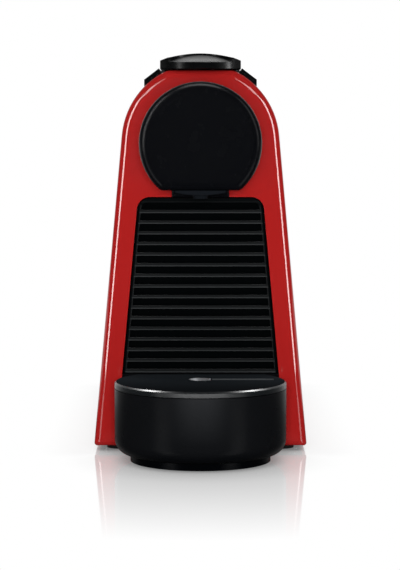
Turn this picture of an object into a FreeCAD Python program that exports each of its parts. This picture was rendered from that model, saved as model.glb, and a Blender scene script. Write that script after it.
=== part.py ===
"""Pod coffee machine: red arched hood, round brew head, capsule container, drip tray and rear tank.

The front faces -Y, +Z is up, and the origin is under the middle of the machine on the table.
All lengths are millimetres.
"""
import FreeCAD
import Part
import Sketcher
import math
import os
import re

Vector = FreeCAD.Vector

SIZES = {
    # Clearances, and how far a cutting shape reaches past what it cuts
    "fit_gap": 0.3,
    "pin_gap": 0.05,
    "overcut": 1,
    # Red hood
    "hood_width": 110,
    "hood_lift": 2.3,
    "hood_length": 200,
    "hood_wall": 2.5,
    "hood_edge": 4,
    "hood_corner": 1.5,
    "arch_radius": 40.5,
    "arch_height": 158.7,
    "arch_flat": 3.7,
    "crown_corner": 10,
    "well_gap": 0.5,
    "well_setback": 12,
    "well_spare": 18,
    "well_sink": 3,
    "boss_radius": 4,
    "boss_height": 14,
    "boss_roof": 1,
    "boss_margin": 6.4,
    "boss_inset": 22,
    # Base
    "foot_radius": 7,
    "foot_height": 3.3,
    "foot_margin": 13.3,
    "foot_inset": 14,
    "base_thick": 3,
    "screw_radius": 1.5,
    "screw_head_radius": 3,
    "screw_head_height": 1.5,
    "screw_length": 12,
    "rear_panel_thick": 3,
    "seat_thick": 12.2,
    "seat_floor": 1,
    "cord_margin": 20,
    "cord_bore": 3.1,
    "gland_wall": 1.4,
    "gland_length": 12,
    # Brew head and outlet
    "head_radius": 30.7,
    "head_length": 30,
    "head_flat": 23.4,
    "head_corner": 4.6,
    "head_edge": 4,
    "head_wall": 2.5,
    "head_hole": 26,
    "outlet_space": 4.3,
    "spout_forward": 20.5,
    "spout_radius": 3.85,
    "spout_bore": 2.4,
    "duct_half": 9,
    "duct_height": 7.6,
    "duct_wall": 2,
    "duct_nose": 5,
    "collar_half": 12.6,
    "collar_edge": 1,
    "collar_sag": 1.4,
    "collar_depth": 15,
    "neck_half": 14.6,
    "neck_depth": 5,
    # Container bay and used-capsule container
    "opening_lift": 0.4,
    "opening_corner": 6.7,
    "border": 11.25,
    "liner_wall": 2,
    "bay_depth": 72.4,
    "bulkhead_thick": 2.5,
    "chute_half": 20,
    "chute_length": 36,
    "panel_gap": 0.5,
    "panel_set": 0.6,
    "panel_depth": 7,
    "panel_edge": 1.6,
    "rib_depth": 5,
    "rib_pitch": 5.46,
    "rib_thick": 1.7,
    "rib_foot": 1.5,
    "bin_half": 29.5,
    "bin_drop": 8.8,
    "bin_wall": 1.8,
    "bin_back_gap": 3.6,
    # Drip tray
    "tray_radius": 43.1,
    "tray_forward": 27,
    "tray_height": 36.4,
    "tray_wall": 2.2,
    "tray_curve": 7.5,
    "ring_step": 0.4,
    "ring_height": 3.6,
    "ring_wall": 3,
    "cover_rim": 3.1,
    "cover_plate": 2,
    "cover_bevel": 0.8,
    "drain_radius": 6,
    "drain_bore": 4,
    "drain_rim": 0.4,
    "drain_sink": 1.6,
    "drain_setback": 6.5,
    "channel_width": 6,
    "channel_depth": 1,
    "channel_reach": 37,
    # Brew unit
    "frame_gap": 0.6,
    "frame_wall": 2.5,
    "frame_roof_gap": 0.4,
    "frame_end": 4,
    "frame_front": 5,
    "frame_front_gap": 3.9,
    "frame_front_drop": 3,
    "frame_back_drop": 16,
    "exit_radius": 12,
    "plate_lap": 0.3,
    "plate_thick": 1.6,
    "plate_hole": 1,
    "plate_circle": 9,
    "hinge_drop": 5,
    "hinge_inset": 14,
    "hinge_radius": 2.5,
    "cage_radius": 18.2,
    "cage_bore": 15.6,
    "cage_length": 31.5,
    "cage_wall": 4,
    "cage_gap": 0.5,
    "cage_travel": 30,
    "pin_inset": 2.6,
    "cam_reach": 68,
    "cam_gap": 0.4,
    "cam_thick": 2,
    "cam_rim": 6,
    "cam_hub": 8,
    "slot_gap": 0.2,
    "ear_width": 8.2,
    "ear_half": 5,
    "cage_pin_radius": 2,
    "stem_radius": 6,
    "stem_length": 37,
    "tube_radius": 3,
    "tube_bore": 1.5,
    "tube_overlap": 6.6,
    "tube_tail": 4,
    "needle_radius": 0.8,
    "needle_length": 3,
    "needle_circle": 8,
    # Lever, shoulders and buttons
    "lever_lap": 0.1,
    "lever_gap": 0.8,
    "lever_height": 8.2,
    "lever_side_height": 4.2,
    "lever_overhang": 2.5,
    "lever_tail": 8,
    "lever_wall": 2.2,
    "lever_roof": 1.5,
    "grip_length": 33,
    "tip_radius": 25,
    "dish_radius": 60,
    "dish_lift": 3.25,
    "dish_length": 22.5,
    "dish_half": 16.4,
    "trim_gap": 0.1,
    "trim_lift": 1,
    "trim_drop": 4.7,
    "trim_depth": 10,
    "trim_rise": 3.5,
    "trim_lap": 1,
    "trim_border": 1,
    "trim_front": 6,
    "trim_back": 1,
    "button_margin": 1.4,
    "button_width": 5.2,
    "button_setback": 44.4,
    "button_length": 20,
    "button_skirt": 1.2,
    "button_proud": 0.7,
    "button_travel": 1.5,
    "button_stem": 1.5,
    "button_stem_length": 6.8,
    "button_stem_inset": 3.4,
    "switch_gap": 0.5,
    "board_thick": 1.6,
    "switch_board_width": 9,
    "switch_size": 4.2,
    "switch_height": 4,
    "switch_plunger": 1.2,
    # Water tank
    "tank_gap": 0.8,
    "tank_depth": 48.6,
    "tank_lift": 0.5,
    "tank_rise": 13.3,
    "tank_wall": 2.2,
    "tank_floor": 2.5,
    "lid_wall": 2,
    "lid_gap": 0.4,
    "knuckle_gap": 0.5,
    "knuckle_radius": 2.5,
    "knuckle_half": 13.5,
    "lug_width": 6,
    "lug_drop": 6,
    "lid_pin_radius": 1.2,
    "spigot_radius": 4.5,
    "spigot_bore": 2.5,
    "spigot_rise": 2,
    "seal_wall": 0.7,
    "seal_height": 1.6,
    "valve_radius": 7.5,
    "valve_disc": 2,
    "valve_stem": 1.5,
    "valve_seat_gap": 0.5,
    "valve_travel": 2,
    "valve_cage_radius": 11,
    "valve_cage_wall": 1.5,
    "valve_cage_height": 11.5,
    "valve_cage_window": 8,
    "valve_spring_radius": 4,
    "valve_spring_wire": 1,
    # Water path and heating
    "meter_inset": 18.6,
    "meter_radius": 13,
    "meter_height": 13.7,
    "meter_floor": 3,
    "meter_wall": 2.4,
    "meter_cap": 3,
    "rotor_hub": 2.5,
    "rotor_radius": 10,
    "rotor_blade": 1.2,
    "rotor_gap": 0.7,
    "rotor_shaft": 1,
    "pump_rise": 29.7,
    "pump_setback": 21.5,
    "barrel_radius": 9,
    "coil_radius": 17,
    "coil_inset": 16.5,
    "coil_tail": 14.5,
    "yoke_plate": 2.5,
    "yoke_half": 18,
    "mount_radius": 13,
    "mount_length": 8,
    "mount_inset": 2,
    "cradle_half": 16,
    "cradle_thick": 4,
    "block_half": 24,
    "block_length": 68,
    "block_gap": 17.5,
    "block_drop": 7.3,
    "spacer_radius": 4,
    "spacer_length": 5.5,
    "spacer_across": 16,
    "spacer_margin": 10,
    "thermostat_radius": 8,
    "thermostat_height": 5,
    "fuse_radius": 2.5,
    "fuse_length": 14,
    "sensor_across": 14,
    "hose_radius": 3,
    "hose_bore": 1.5,
    "hose_lift": 0.5,
    "suction_reach": 17.5,
    "pressure_reach": 12,
    "brew_hose_inset": 6,
    # Control board
    "board_half": 30,
    "board_lift": 53.7,
    "board_height": 80,
    "standoff_radius": 3,
    "standoff_length": 7,
    "standoff_inset": 6,
    "relay_width": 15,
    "relay_height": 19,
    "relay_depth": 12,
    "capacitor_radius": 6,
    "capacitor_length": 14,
    "connector_width": 30,
    "connector_height": 7,
    "connector_depth": 9,
}

# Lever angle in degrees, how far its slot runs past each end, and the share of a run that a hose bend takes
LEVER_ANGLE = 80
SLOT_SPARE_ANGLE = 2
CAM_SPARE_ANGLE = 6
CAM_STEPS = 12
HOSE_TURN = 0.45
PLATE_HOLES = 8
NEEDLES = 3

# Two lengths or angles closer than this are the same
SAME = 0.01

# Each side with the sign of its X
SIDES = (("right", ""), ("left", "-"))

# Rules: levels, places and widths that follow from the sizes
RULES = {
    # Levels
    "base_top": "foot_height + base_thick",
    "seat_height": "foot_height + seat_thick",
    "cord_level": "foot_height + seat_thick / 2",
    "hose_level": "base_top + hose_radius + hose_lift",
    "cover_height": "tray_height + fit_gap + cover_rim",
    "opening_foot": "cover_height + opening_lift",
    "head_foot": "arch_height - head_flat",
    "opening_top": "head_foot - outlet_space",
    "spout_foot": "opening_top",
    "liner_top": "opening_top + fit_gap + liner_wall",
    "rib_first": "opening_foot + rib_foot",
    "bin_top": "opening_top - bin_drop",
    "flat_height": "arch_height + arch_radius - arch_flat",
    "arch_rise": "arch_height - hood_lift",
    "frame_top": "arch_height + sqrt((arch_radius - hood_wall)^2 - frame_half^2) - frame_roof_gap",
    "frame_back_top": "frame_top - frame_back_drop",
    "hinge_level": "frame_top - hinge_drop",
    "lever_foot": "flat_height + lever_gap",
    "lever_side": "lever_foot + lever_side_height",
    "height": "lever_foot + lever_height",
    "dish_floor": "lever_foot + dish_lift",
    "trim_side": "flat_height - trim_drop",
    "trim_inner": "flat_height + trim_lift",
    "trim_crown": "flat_height + trim_rise",
    "button_foot": "trim_side - button_skirt",
    "button_stem_foot": "button_foot - button_stem_length",
    "switch_top": "button_stem_foot - button_travel - switch_gap - switch_plunger",
    "switch_foot": "switch_top - switch_height",
    "tank_foot": "seat_height + tank_lift",
    "tank_inside": "tank_foot + tank_floor",
    "tank_top": "arch_height + tank_rise",
    "lid_foot": "tank_top + lid_gap",
    "lid_level": "tank_top + lid_gap / 2",
    "spigot_foot": "foot_height + seat_floor",
    "spigot_top": "seat_height + spigot_rise",
    "valve_foot": "spigot_top + fit_gap",
    "valve_disc_foot": "tank_inside + valve_seat_gap",
    "valve_disc_top": "valve_disc_foot + valve_disc",
    "valve_cage_top": "tank_inside + valve_cage_height",
    "valve_cap": "valve_cage_top - valve_cage_wall",
    "meter_top": "base_top + meter_height",
    "meter_roof": "meter_top + meter_cap",
    "pump_level": "base_top + pump_rise",
    "block_foot": "pump_level + yoke_half + yoke_plate + block_gap",
    "block_top": "liner_top - block_drop",
    "board_foot": "base_top + board_lift",
    # Widths from the middle
    "foot_half": "hood_width / 2",
    "hood_fit": "hood_wall + fit_gap",
    "boss_across": "foot_half - boss_margin",
    "foot_across": "foot_half - foot_margin",
    "cord_across": "foot_half - cord_margin",
    "tray_turn": "tray_radius - tray_curve",
    "ring_radius": "tray_turn - ring_step",
    "plate_radius": "cage_radius + plate_lap",
    "cam_inner": "cage_radius + cam_gap",
    "cam_outer": "cam_inner + cam_thick",
    "lever_half": "cam_outer + lever_lap",
    "well_half": "lever_half + well_gap",
    "frame_inner": "cam_outer + frame_gap",
    "frame_half": "frame_inner + frame_wall",
    "button_inner": "well_half + button_margin",
    "button_outer": "button_inner + button_width",
    "button_stem_across": "button_inner + button_stem_inset",
    "trim_outer": "button_outer + trim_border",
    "lug_inner": "knuckle_half + knuckle_gap",
    "outlet_radius": "spigot_radius + pin_gap + seal_wall + fit_gap",
    # Places along the machine
    "tank_reach": "tank_gap + tank_depth + knuckle_gap + 2 * knuckle_radius",
    "depth": "tray_radius + tray_forward + hood_length + tank_reach",
    "front": "tray_radius + tray_forward - depth / 2",
    "back": "front + hood_length",
    "inside": "front + hood_wall",
    "tray_along": "tray_radius - depth / 2",
    "drain_along": "tray_along + drain_setback",
    "tray_back": "front - fit_gap",
    "nose": "front - head_length",
    "spout_along": "front - spout_forward",
    "panel_face": "front + panel_set",
    "panel_back": "panel_face + panel_depth",
    "bulkhead": "front + bay_depth",
    "bulkhead_back": "bulkhead + bulkhead_thick",
    "bin_back": "bulkhead - bin_back_gap",
    "frame_face": "inside + frame_front_gap",
    "plate_face": "frame_face + frame_front",
    "cage_front": "plate_face + plate_thick + cage_gap",
    "cage_back": "cage_front + cage_length",
    "pin_along": "cage_back - pin_inset",
    "hinge_along": "pin_along + cam_reach",
    "frame_back": "hinge_along + hinge_inset",
    "stem_end": "cage_back + stem_length",
    "tube_tip": "stem_end - tube_overlap",
    "tube_end": "frame_back + tube_tail",
    "lever_front": "front - lever_overhang",
    "lever_back": "hinge_along + lever_tail",
    "well_front": "front + well_setback",
    "well_back": "lever_back + well_spare",
    "button_front": "front + button_setback",
    "button_back": "button_front + button_length",
    "button_middle": "button_front + button_length / 2",
    "tank_front": "back + tank_gap",
    "tank_back": "tank_front + tank_depth",
    "lid_axis": "depth / 2 - knuckle_radius",
    "valve_along": "(tank_front + tank_back) / 2",
    "meter_along": "back - rear_panel_thick - meter_inset",
    "suction_along": "meter_along - meter_radius / 2",
    "pump_front": "bulkhead_back + pump_setback",
    "pump_back": "suction_along - suction_reach",
    "pump_length": "pump_back - pump_front",
    "coil_front": "pump_front + coil_inset",
    "coil_back": "pump_back - coil_tail",
    "pressure_along": "pump_front - pressure_reach",
    "block_front": "bulkhead_back + spacer_length",
    "block_back": "block_front + block_length",
    "brew_hose_along": "block_back - brew_hose_inset",
    "board_back": "back - rear_panel_thick - standoff_length",
    "board_face": "board_back - board_thick",
}

doc = FreeCAD.newDocument("pod_coffee_machine")
sheet = doc.addObject("Spreadsheet::Sheet", "Sizes")
for row, (size_name, size) in enumerate(SIZES.items(), start=1):
    sheet.set(f"A{row}", size_name)
    sheet.set(f"B{row}", str(size))
    sheet.setAlias(f"B{row}", size_name)
doc.recompute()

nodes = {}


# Reading rules


def tie(rule):
    """Work named rules out to sizes, and point each size at its cell."""

    def cell(word):
        name = word.group()
        if name in RULES:
            return f"({tie(RULES[name])})"
        return f"Sizes.{name}" if name in SIZES else name

    return re.sub(r"[a-z_]+", cell, str(rule))


def value(rule):
    """Number that a rule gives now."""
    return float(sheet.evalExpression(tie(rule)))


def bind(thing, **rules):
    """Bind properties of an object to rules."""
    for name, rule in rules.items():
        thing.setExpression(name, tie(rule))


def place(thing, corner):
    """Bind an object's position to three rules."""
    for axis, rule in zip("xyz", corner):
        thing.setExpression(f"Placement.Base.{axis}", tie(rule))


# Outlines that several pieces share


def tangent(inset):
    """Point where the straight flank runs into the arch, moved in by an inset."""
    half = f"(foot_half - {inset})"
    radius = f"(arch_radius - {inset})"
    reach = f"({half}^2 + arch_rise^2)"
    run = f"sqrt({reach} - {radius}^2)"
    across = f"({radius} * ({radius} * {half} + arch_rise * {run}) / {reach})"
    level = f"(arch_height + {radius} * ({half} * {run} - {radius} * arch_rise) / {reach})"
    return across, level


def flank(level, inset=0):
    """Half-width of the hood's straight flank at a level."""
    across, top = tangent(inset)
    half = f"(foot_half - {inset})"
    return f"({half} - ({half} - {across}) * ({level} - hood_lift) / ({top} - hood_lift))"


def both_sides(right):
    """Closed outline from its right half, given upwards."""
    left = []
    for index in range(len(right) - 1, -1, -1):
        mirrored = (f"-({right[index][0]})", right[index][1])
        arc = right[index - 1][2:] if index else ()
        left.append(mirrored + tuple(arc))
    return right + left


def arch(foot, top, inset=0):
    """Outline of the hood between two levels, with the top above the start of the arch."""
    across, level = tangent(inset)
    radius = f"(arch_radius - {inset})"
    high = f"sqrt({radius}^2 - ({top} - arch_height)^2)"
    return both_sides([(flank(foot, inset), foot), (across, level, radius), (high, top)])


def cap(foot, top, inset=0):
    """Outline of the top of the arch, above a level on its round part."""
    radius = f"(arch_radius - {inset})"
    low = f"sqrt({radius}^2 - ({foot} - arch_height)^2)"
    high = f"sqrt({radius}^2 - ({top} - arch_height)^2)"
    return both_sides([(low, foot, radius), (high, top)])


def opening(grow, sill=0):
    """Outline of the container opening, grown by a gap and lowered by the height of a sill."""
    foot = f"(opening_foot - {grow} - {sill})"
    top = f"(opening_top + {grow})"
    low = f"({flank(foot)} - border + {grow})"
    high = f"({flank(top)} - border + {grow})"
    return both_sides([(low, foot), (high, top)])


# Ways to make shapes

TURNS = {
    "X": FreeCAD.Rotation(Vector(0, 1, 0), 90),
    "Y": FreeCAD.Rotation(Vector(1, 0, 0), -90),
    "Z": FreeCAD.Rotation(),
}


def block(name, low, high):
    """Box between two corners."""
    thing = doc.addObject("Part::Box", name)
    for side, start, end in zip(("Length", "Width", "Height"), low, high):
        thing.setExpression(side, tie(f"({end}) - ({start})"))
    place(thing, low)
    return thing


def rod(name, way, start, length, radius):
    """Cylinder from a point along an axis."""
    thing = doc.addObject("Part::Cylinder", name)
    bind(thing, Radius=radius, Height=length)
    thing.Placement = FreeCAD.Placement(Vector(), TURNS[way])
    place(thing, start)
    return thing


def tube(name, way, start, length, radius, bore):
    """Cylinder with a bore right through."""
    outer = rod(f"{name}_out", way, start, length, radius)
    return cut(name, outer, rod(f"{name}_in", way, start, length, bore))


def join(name, *things):
    """One solid from things that overlap or touch."""
    thing = doc.addObject("Part::MultiFuse", name)
    thing.Shapes = list(things)
    return thing


def group(name, things):
    """Separate solids kept as one piece group."""
    thing = doc.addObject("Part::Compound", name)
    thing.Links = list(things)
    return thing


def cut(name, base, *tools):
    """Base with each tool taken away."""
    thing = doc.addObject("Part::Cut", name)
    thing.Base = base
    thing.Tool = tools[0] if len(tools) == 1 else join(f"{name}_tools", *tools)
    return thing


def common(name, first, second):
    """What two things share."""
    thing = doc.addObject("Part::Common", name)
    thing.Base = first
    thing.Tool = second
    return thing


def keep(name, thing):
    """Name a finished piece."""
    thing.Label = name
    nodes[name] = thing


def draw(owner, plane, level):
    """Sketch of a body on one of its planes, moved to a level."""
    face = next(part for part in owner.Origin.OriginFeatures if part.Role == plane)
    drawing = owner.newObject("Sketcher::SketchObject", f"{owner.Name}_sketch")
    drawing.AttachmentSupport = [(face, "")]
    drawing.MapMode = "FlatFace"
    sign = "-" if plane == "XZ_Plane" else ""
    drawing.setExpression("AttachmentOffset.Base.z", tie(f"{sign}({level})"))
    return drawing


def arc_middle(start, end, radius, kind):
    """Middle point of an arc that turns left, hollow (right) or the long way round."""
    chord = end - start
    half = chord.Length / 2
    middle = (start + end) / 2
    left = Vector(-chord.y, chord.x, 0) / chord.Length
    height = math.sqrt(max(radius * radius - half * half, 0))
    if kind == "hollow":
        return middle + left * (radius - height)
    if kind == "long":
        return middle - left * (radius + height)
    return middle - left * (radius - height)


def outline(drawing, corners):
    """Closed outline. A corner is two rules, and a third is the radius of an arc to the next corner."""
    first = drawing.GeometryCount
    points = [Vector(value(corner[0]), value(corner[1]), 0) for corner in corners]
    count = len(corners)
    ends = []
    for index, corner in enumerate(corners):
        here = points[index]
        there = points[(index + 1) % count]
        if len(corner) == 2:
            drawing.addGeometry(Part.LineSegment(here, there))
            ends.append((1, 2))
            continue
        kind = corner[3] if len(corner) > 3 else "round"
        drawing.addGeometry(Part.Arc(here, arc_middle(here, there, value(corner[2]), kind), there))
        begin = drawing.getPoint(first + index, 1)
        forward = begin.distanceToPoint(here) < begin.distanceToPoint(there)
        ends.append((1, 2) if forward else (2, 1))
    for index, corner in enumerate(corners):
        line = first + index
        following = (index + 1) % count
        join_ends = (line, ends[index][1], first + following, ends[following][0])
        drawing.addConstraint(Sketcher.Constraint("Coincident", *join_ends))
        for kind, rule in (("DistanceX", corner[0]), ("DistanceY", corner[1])):
            limit(drawing, rule, kind, -1, 1, line, ends[index][0])
        if len(corner) > 2:
            limit(drawing, corner[2], "Radius", line)


def limit(drawing, rule, kind, *where):
    """Constraint bound to a rule."""
    number = drawing.addConstraint(Sketcher.Constraint(kind, *where, value(rule)))
    drawing.setExpression(f"Constraints[{number}]", tie(rule))


def circle(drawing, across, level, radius):
    """Circle with its centre and radius bound to rules."""
    line = drawing.GeometryCount
    centre = Vector(value(across), value(level), 0)
    drawing.addGeometry(Part.Circle(centre, Vector(0, 0, 1), value(radius)))
    limit(drawing, across, "DistanceX", -1, 1, line, 3)
    limit(drawing, level, "DistanceY", -1, 1, line, 3)
    limit(drawing, radius, "Radius", line)


def pad(owner, drawing, length, backwards=False):
    """Raise a sketch. On the upright XZ plane a pad goes to the front unless it is backwards."""
    feature = owner.newObject("PartDesign::Pad", f"{owner.Name}_pad")
    feature.Profile = drawing
    bind(feature, Length=length)
    feature.Reversed = backwards
    return feature


def pocket(owner, drawing, length):
    """Cut a sketch, to the back on the XZ plane and down on the XY plane."""
    feature = owner.newObject("PartDesign::Pocket", f"{owner.Name}_pocket")
    feature.Profile = drawing
    bind(feature, Length=length)
    return feature


def prism(name, corners, start, end):
    """Body with one outline of the XZ plane, drawn from one place along Y to another."""
    owner = doc.addObject("PartDesign::Body", name)
    drawing = draw(owner, "XZ_Plane", start)
    outline(drawing, corners)
    pad(owner, drawing, f"({end}) - ({start})", backwards=True)
    return owner


def turned(name, corners, along):
    """Body of revolution about an upright axis at a place along Y."""
    owner = doc.addObject("PartDesign::Body", name)
    drawing = draw(owner, "XZ_Plane", 0)
    outline(drawing, corners)
    feature = owner.newObject("PartDesign::Revolution", f"{name}_turn")
    feature.Profile = drawing
    feature.ReferenceAxis = (drawing, ["V_Axis"])
    feature.Angle = 360
    owner.setExpression("Placement.Base.y", tie(along))
    return owner


def round_edges(owner, radius, chosen):
    """Fillet the edges of a body's last feature that a test picks."""
    doc.recompute()
    base = owner.Tip
    picked = [f"Edge{number}" for number, edge in enumerate(base.Shape.Edges, start=1) if chosen(edge)]
    feature = owner.newObject("PartDesign::Fillet", f"{owner.Name}_round")
    feature.Base = (base, picked)
    bind(feature, Radius=radius)


def near(first, second):
    """True for two lengths that are the same."""
    return abs(first - second) < SAME


def at_along(edge, along):
    """True for an edge that lies in one plane across Y."""
    return near(edge.BoundBox.YMin, along) and near(edge.BoundBox.YMax, along)


def runs_along(edge):
    """True for a straight edge along Y."""
    box = edge.BoundBox
    return box.YLength > SAME and box.XLength < SAME and box.ZLength < SAME


def top_corner(edge):
    """True for an edge along Y where the arch meets its flat top."""
    return runs_along(edge) and near(edge.BoundBox.ZMax, value("flat_height"))


def top_edge(owner):
    """Test for the edges along Y at the top of a body."""
    doc.recompute()
    top = owner.Shape.BoundBox.ZMax
    return lambda edge: runs_along(edge) and near(edge.BoundBox.ZMax, top)


def mirrored_pair(maker):
    """Make a piece for the right side and one for the left."""
    for side, sign in SIDES:
        maker(side, sign)


def span(sign, inner, outer):
    """Two rules for a stretch across X on one side, lower value first."""
    return (f"-({outer})", f"-({inner})") if sign else (inner, outer)


# Red hood and base


def make_body_shell():
    """Arched hood, open below and behind, with its head hole, container opening and lever well."""
    hood = prism("hood", arch("hood_lift", "flat_height"), "front", "back")
    face = value("front")
    floor = value("hood_lift")
    round_edges(hood, "crown_corner", top_corner)
    round_edges(hood, "hood_corner", lambda edge: runs_along(edge) and near(edge.BoundBox.ZMin, floor))
    round_edges(hood, "hood_edge", lambda edge: at_along(edge, face) and edge.BoundBox.ZMax > floor + SAME)
    inner = draw(hood, "XZ_Plane", "inside")
    outline(inner, arch("hood_lift - overcut", "flat_height - hood_wall", "hood_wall"))
    pocket(hood, inner, "hood_length")
    hole = draw(hood, "XZ_Plane", "front - overcut")
    circle(hole, 0, "arch_height", "head_hole")
    pocket(hood, hole, "hood_wall + 2 * overcut")
    door = draw(hood, "XZ_Plane", "front - overcut")
    outline(door, opening(0, "(fit_gap + liner_wall)"))
    pocket(hood, door, "hood_wall + 2 * overcut")
    top = value("opening_top")
    round_edges(hood, "opening_corner", lambda edge: runs_along(edge) and near(edge.BoundBox.ZMax, top))
    well = draw(hood, "XY_Plane", "flat_height + overcut")
    outline(well, [
        ("-well_half", "well_front"), ("well_half", "well_front"),
        ("well_half", "well_back"), ("-well_half", "well_back"),
    ])
    pocket(hood, well, "flat_height + overcut - frame_top + well_sink")
    bosses = []
    bores = []
    for number, (across, along) in enumerate(boss_places()):
        spot = (across, along, "base_top")
        bosses.append(rod(f"boss_{number}", "Z", spot, "boss_height", "boss_radius"))
        depth = "boss_height - boss_roof"
        bores.append(rod(f"boss_bore_{number}", "Z", spot, depth, "screw_radius + pin_gap"))
    holes = [button_hole(side, sign) for side, sign in SIDES]
    keep("body_shell", cut("body_shell", join("hood_with_bosses", hood, *bosses), *bores, *holes))


def boss_places():
    """Where the four screw bosses stand."""
    return [
        (across, along)
        for across in ("-boss_across", "boss_across")
        for along in ("front + boss_inset", "back - boss_inset")
    ]


def button_hole(side, sign):
    """Upright slot for a button through the hood and its trim."""
    low, high = span(sign, "button_inner - fit_gap", "button_outer + fit_gap")
    start = "button_front - fit_gap"
    end = "button_back + fit_gap"
    return block(f"{side}_button_hole", (low, start, "button_stem_foot"), (high, end, "height"))


def make_base():
    """Base plate, its screws and feet, the rear panel and the seat under the tank."""
    half = f"({flank('foot_height', 'hood_fit')} - fit_gap)"
    plate = block("plate", (f"-{half}", "inside + fit_gap", "foot_height"), (half, "back", "base_top"))
    holes = []
    screws = []
    for number, (across, along) in enumerate(boss_places()):
        hole_foot = (across, along, "foot_height - overcut")
        hole_length = "base_thick + 2 * overcut"
        holes.append(rod(f"plate_hole_{number}", "Z", hole_foot, hole_length, "screw_radius + pin_gap"))
        spot = (across, along, "foot_height - screw_head_height")
        head = rod(f"screw_head_{number}", "Z", spot, "screw_head_height", "screw_head_radius")
        shank_length = "screw_head_height + screw_length"
        shank = rod(f"screw_shank_{number}", "Z", spot, shank_length, "screw_radius")
        screws.append(join(f"screw_{number}", head, shank))
    keep("base_plate", cut("base_plate", plate, *holes))
    keep("base_screws", group("base_screws", screws))
    feet = []
    for side, sign in SIDES:
        for end, along in (("front", "front + foot_inset"), ("rear", "tank_back - foot_inset")):
            spot = (f"{sign}foot_across", along, "0")
            feet.append(rod(f"{side}_{end}_foot", "Z", spot, "foot_height", "foot_radius"))
    keep("feet", group("feet", feet))
    make_rear_panel()
    make_tank_seat()


def make_rear_panel():
    """Plate that closes the hood behind, with a notch for the tank's hose."""
    corners = arch("(base_top + fit_gap)", "(flat_height - hood_fit)", "hood_fit")
    plate = prism("rear_plate", corners, "back - rear_panel_thick", "back")
    notch_half = "hose_radius + fit_gap"
    notch = block(
        "hose_notch",
        (f"-({notch_half})", "back - rear_panel_thick - overcut", "0"),
        (notch_half, "back + overcut", "hose_level + hose_radius + fit_gap"),
    )
    keep("rear_panel", cut("rear_panel", plate, notch, lead_way("panel_lead_way")))


def lead_way(name):
    """Straight way for the mains lead, through the rear panel and the seat."""
    start = ("-cord_across", "back - rear_panel_thick - overcut", "cord_level")
    length = "tank_back - back + rear_panel_thick + 2 * overcut"
    return rod(name, "Y", start, length, "cord_bore + gland_wall + pin_gap")


def make_tank_seat():
    """Block behind the hood that carries the tank, with the spigot, hose and lead passing through."""
    corners = both_sides([(flank("foot_height"), "foot_height"), (flank("seat_height"), "seat_height")])
    seat = prism("seat_block", corners, "back", "tank_back")
    well_foot = ("0", "valve_along", "spigot_foot")
    well = rod("spigot_well", "Z", well_foot, "seat_height", "spigot_radius + pin_gap")
    way_start = ("0", "back - overcut", "hose_level")
    way = rod("hose_way", "Y", way_start, "valve_along - back + overcut", "hose_radius + fit_gap")
    keep("tank_seat", cut("tank_seat", seat, well, way, lead_way("seat_lead_way")))
    gland_start = ("-cord_across", "tank_back - gland_length", "cord_level")
    gland = tube("cord_gland", "Y", gland_start, "gland_length", "cord_bore + gland_wall", "cord_bore")
    keep("cord_gland", gland)


# Brew head and outlet


def head_outline(inset):
    """Round head with a flat foot."""
    radius = f"(head_radius - {inset})"
    drop = f"(head_flat - {inset})"
    half = f"sqrt({radius}^2 - {drop}^2)"
    level = f"(arch_height - {drop})"
    return [(f"-{half}", level), (half, level, radius, "long")]


def make_head():
    """Hollow round head with a neck below it, its outlet collar, and the spout with its duct."""
    head = prism("head_body", head_outline(0), "nose", "front")
    round_edges(head, "head_corner", runs_along)
    face = value("nose")
    round_edges(head, "head_edge", lambda edge: at_along(edge, face))
    inner = prism("head_inner", head_outline("head_wall"), "nose + head_wall", "front + overcut")
    round_edges(inner, "head_corner - head_wall", runs_along)
    neck = block(
        "head_neck",
        ("-neck_half", "front - neck_depth", "opening_top"),
        ("neck_half", "front", "head_foot + head_wall / 2"),
    )
    keep("head_cap", cut("head_cap", join("head_solid", head, neck), inner, spout_passage("head")))
    bottom = "(head_foot - collar_edge)"
    sag_radius = "((collar_half^2 + collar_sag^2) / (2 * collar_sag))"
    lens = [
        ("-collar_half", "head_foot"), ("-collar_half", bottom, sag_radius),
        ("collar_half", bottom), ("collar_half", "head_foot"),
    ]
    middle = "(spout_along - collar_depth / 2)"
    lip = prism("collar_lip", lens, middle, f"{middle} + collar_depth")
    keep("outlet_collar", cut("outlet_collar", lip, spout_passage("collar")))
    make_spout()


def spout_passage(name):
    """Hole for the spout, up through the collar and the head's floor."""
    length = "outlet_space + head_wall + overcut"
    spot = ("0", "spout_along", "spout_foot")
    return rod(f"{name}_passage", "Z", spot, length, "spout_radius + fit_gap")


def make_spout():
    """Open duct from the brew unit, ending in the spout."""
    floor = "(head_foot + head_wall + fit_gap)"
    start = "(spout_along - duct_nose)"
    duct = block("duct", ("-duct_half", start, floor), ("duct_half", "frame_face", f"{floor} + duct_height"))
    trough = block(
        "trough",
        ("duct_wall - duct_half", f"{start} + duct_wall", f"{floor} + duct_wall"),
        ("duct_half - duct_wall", "frame_face - duct_wall", f"{floor} + duct_height + overcut"),
    )
    spot = ("0", "spout_along", "spout_foot")
    length = f"{floor} - spout_foot"
    nozzle = rod("nozzle", "Z", spot, f"{length} + duct_wall / 2", "spout_radius")
    bore = rod("nozzle_bore", "Z", spot, f"{length} + duct_height", "spout_bore")
    keep("spout", cut("spout", join("spout_solid", duct, nozzle), trough, bore))


# Container bay, container and drip tray


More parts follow.
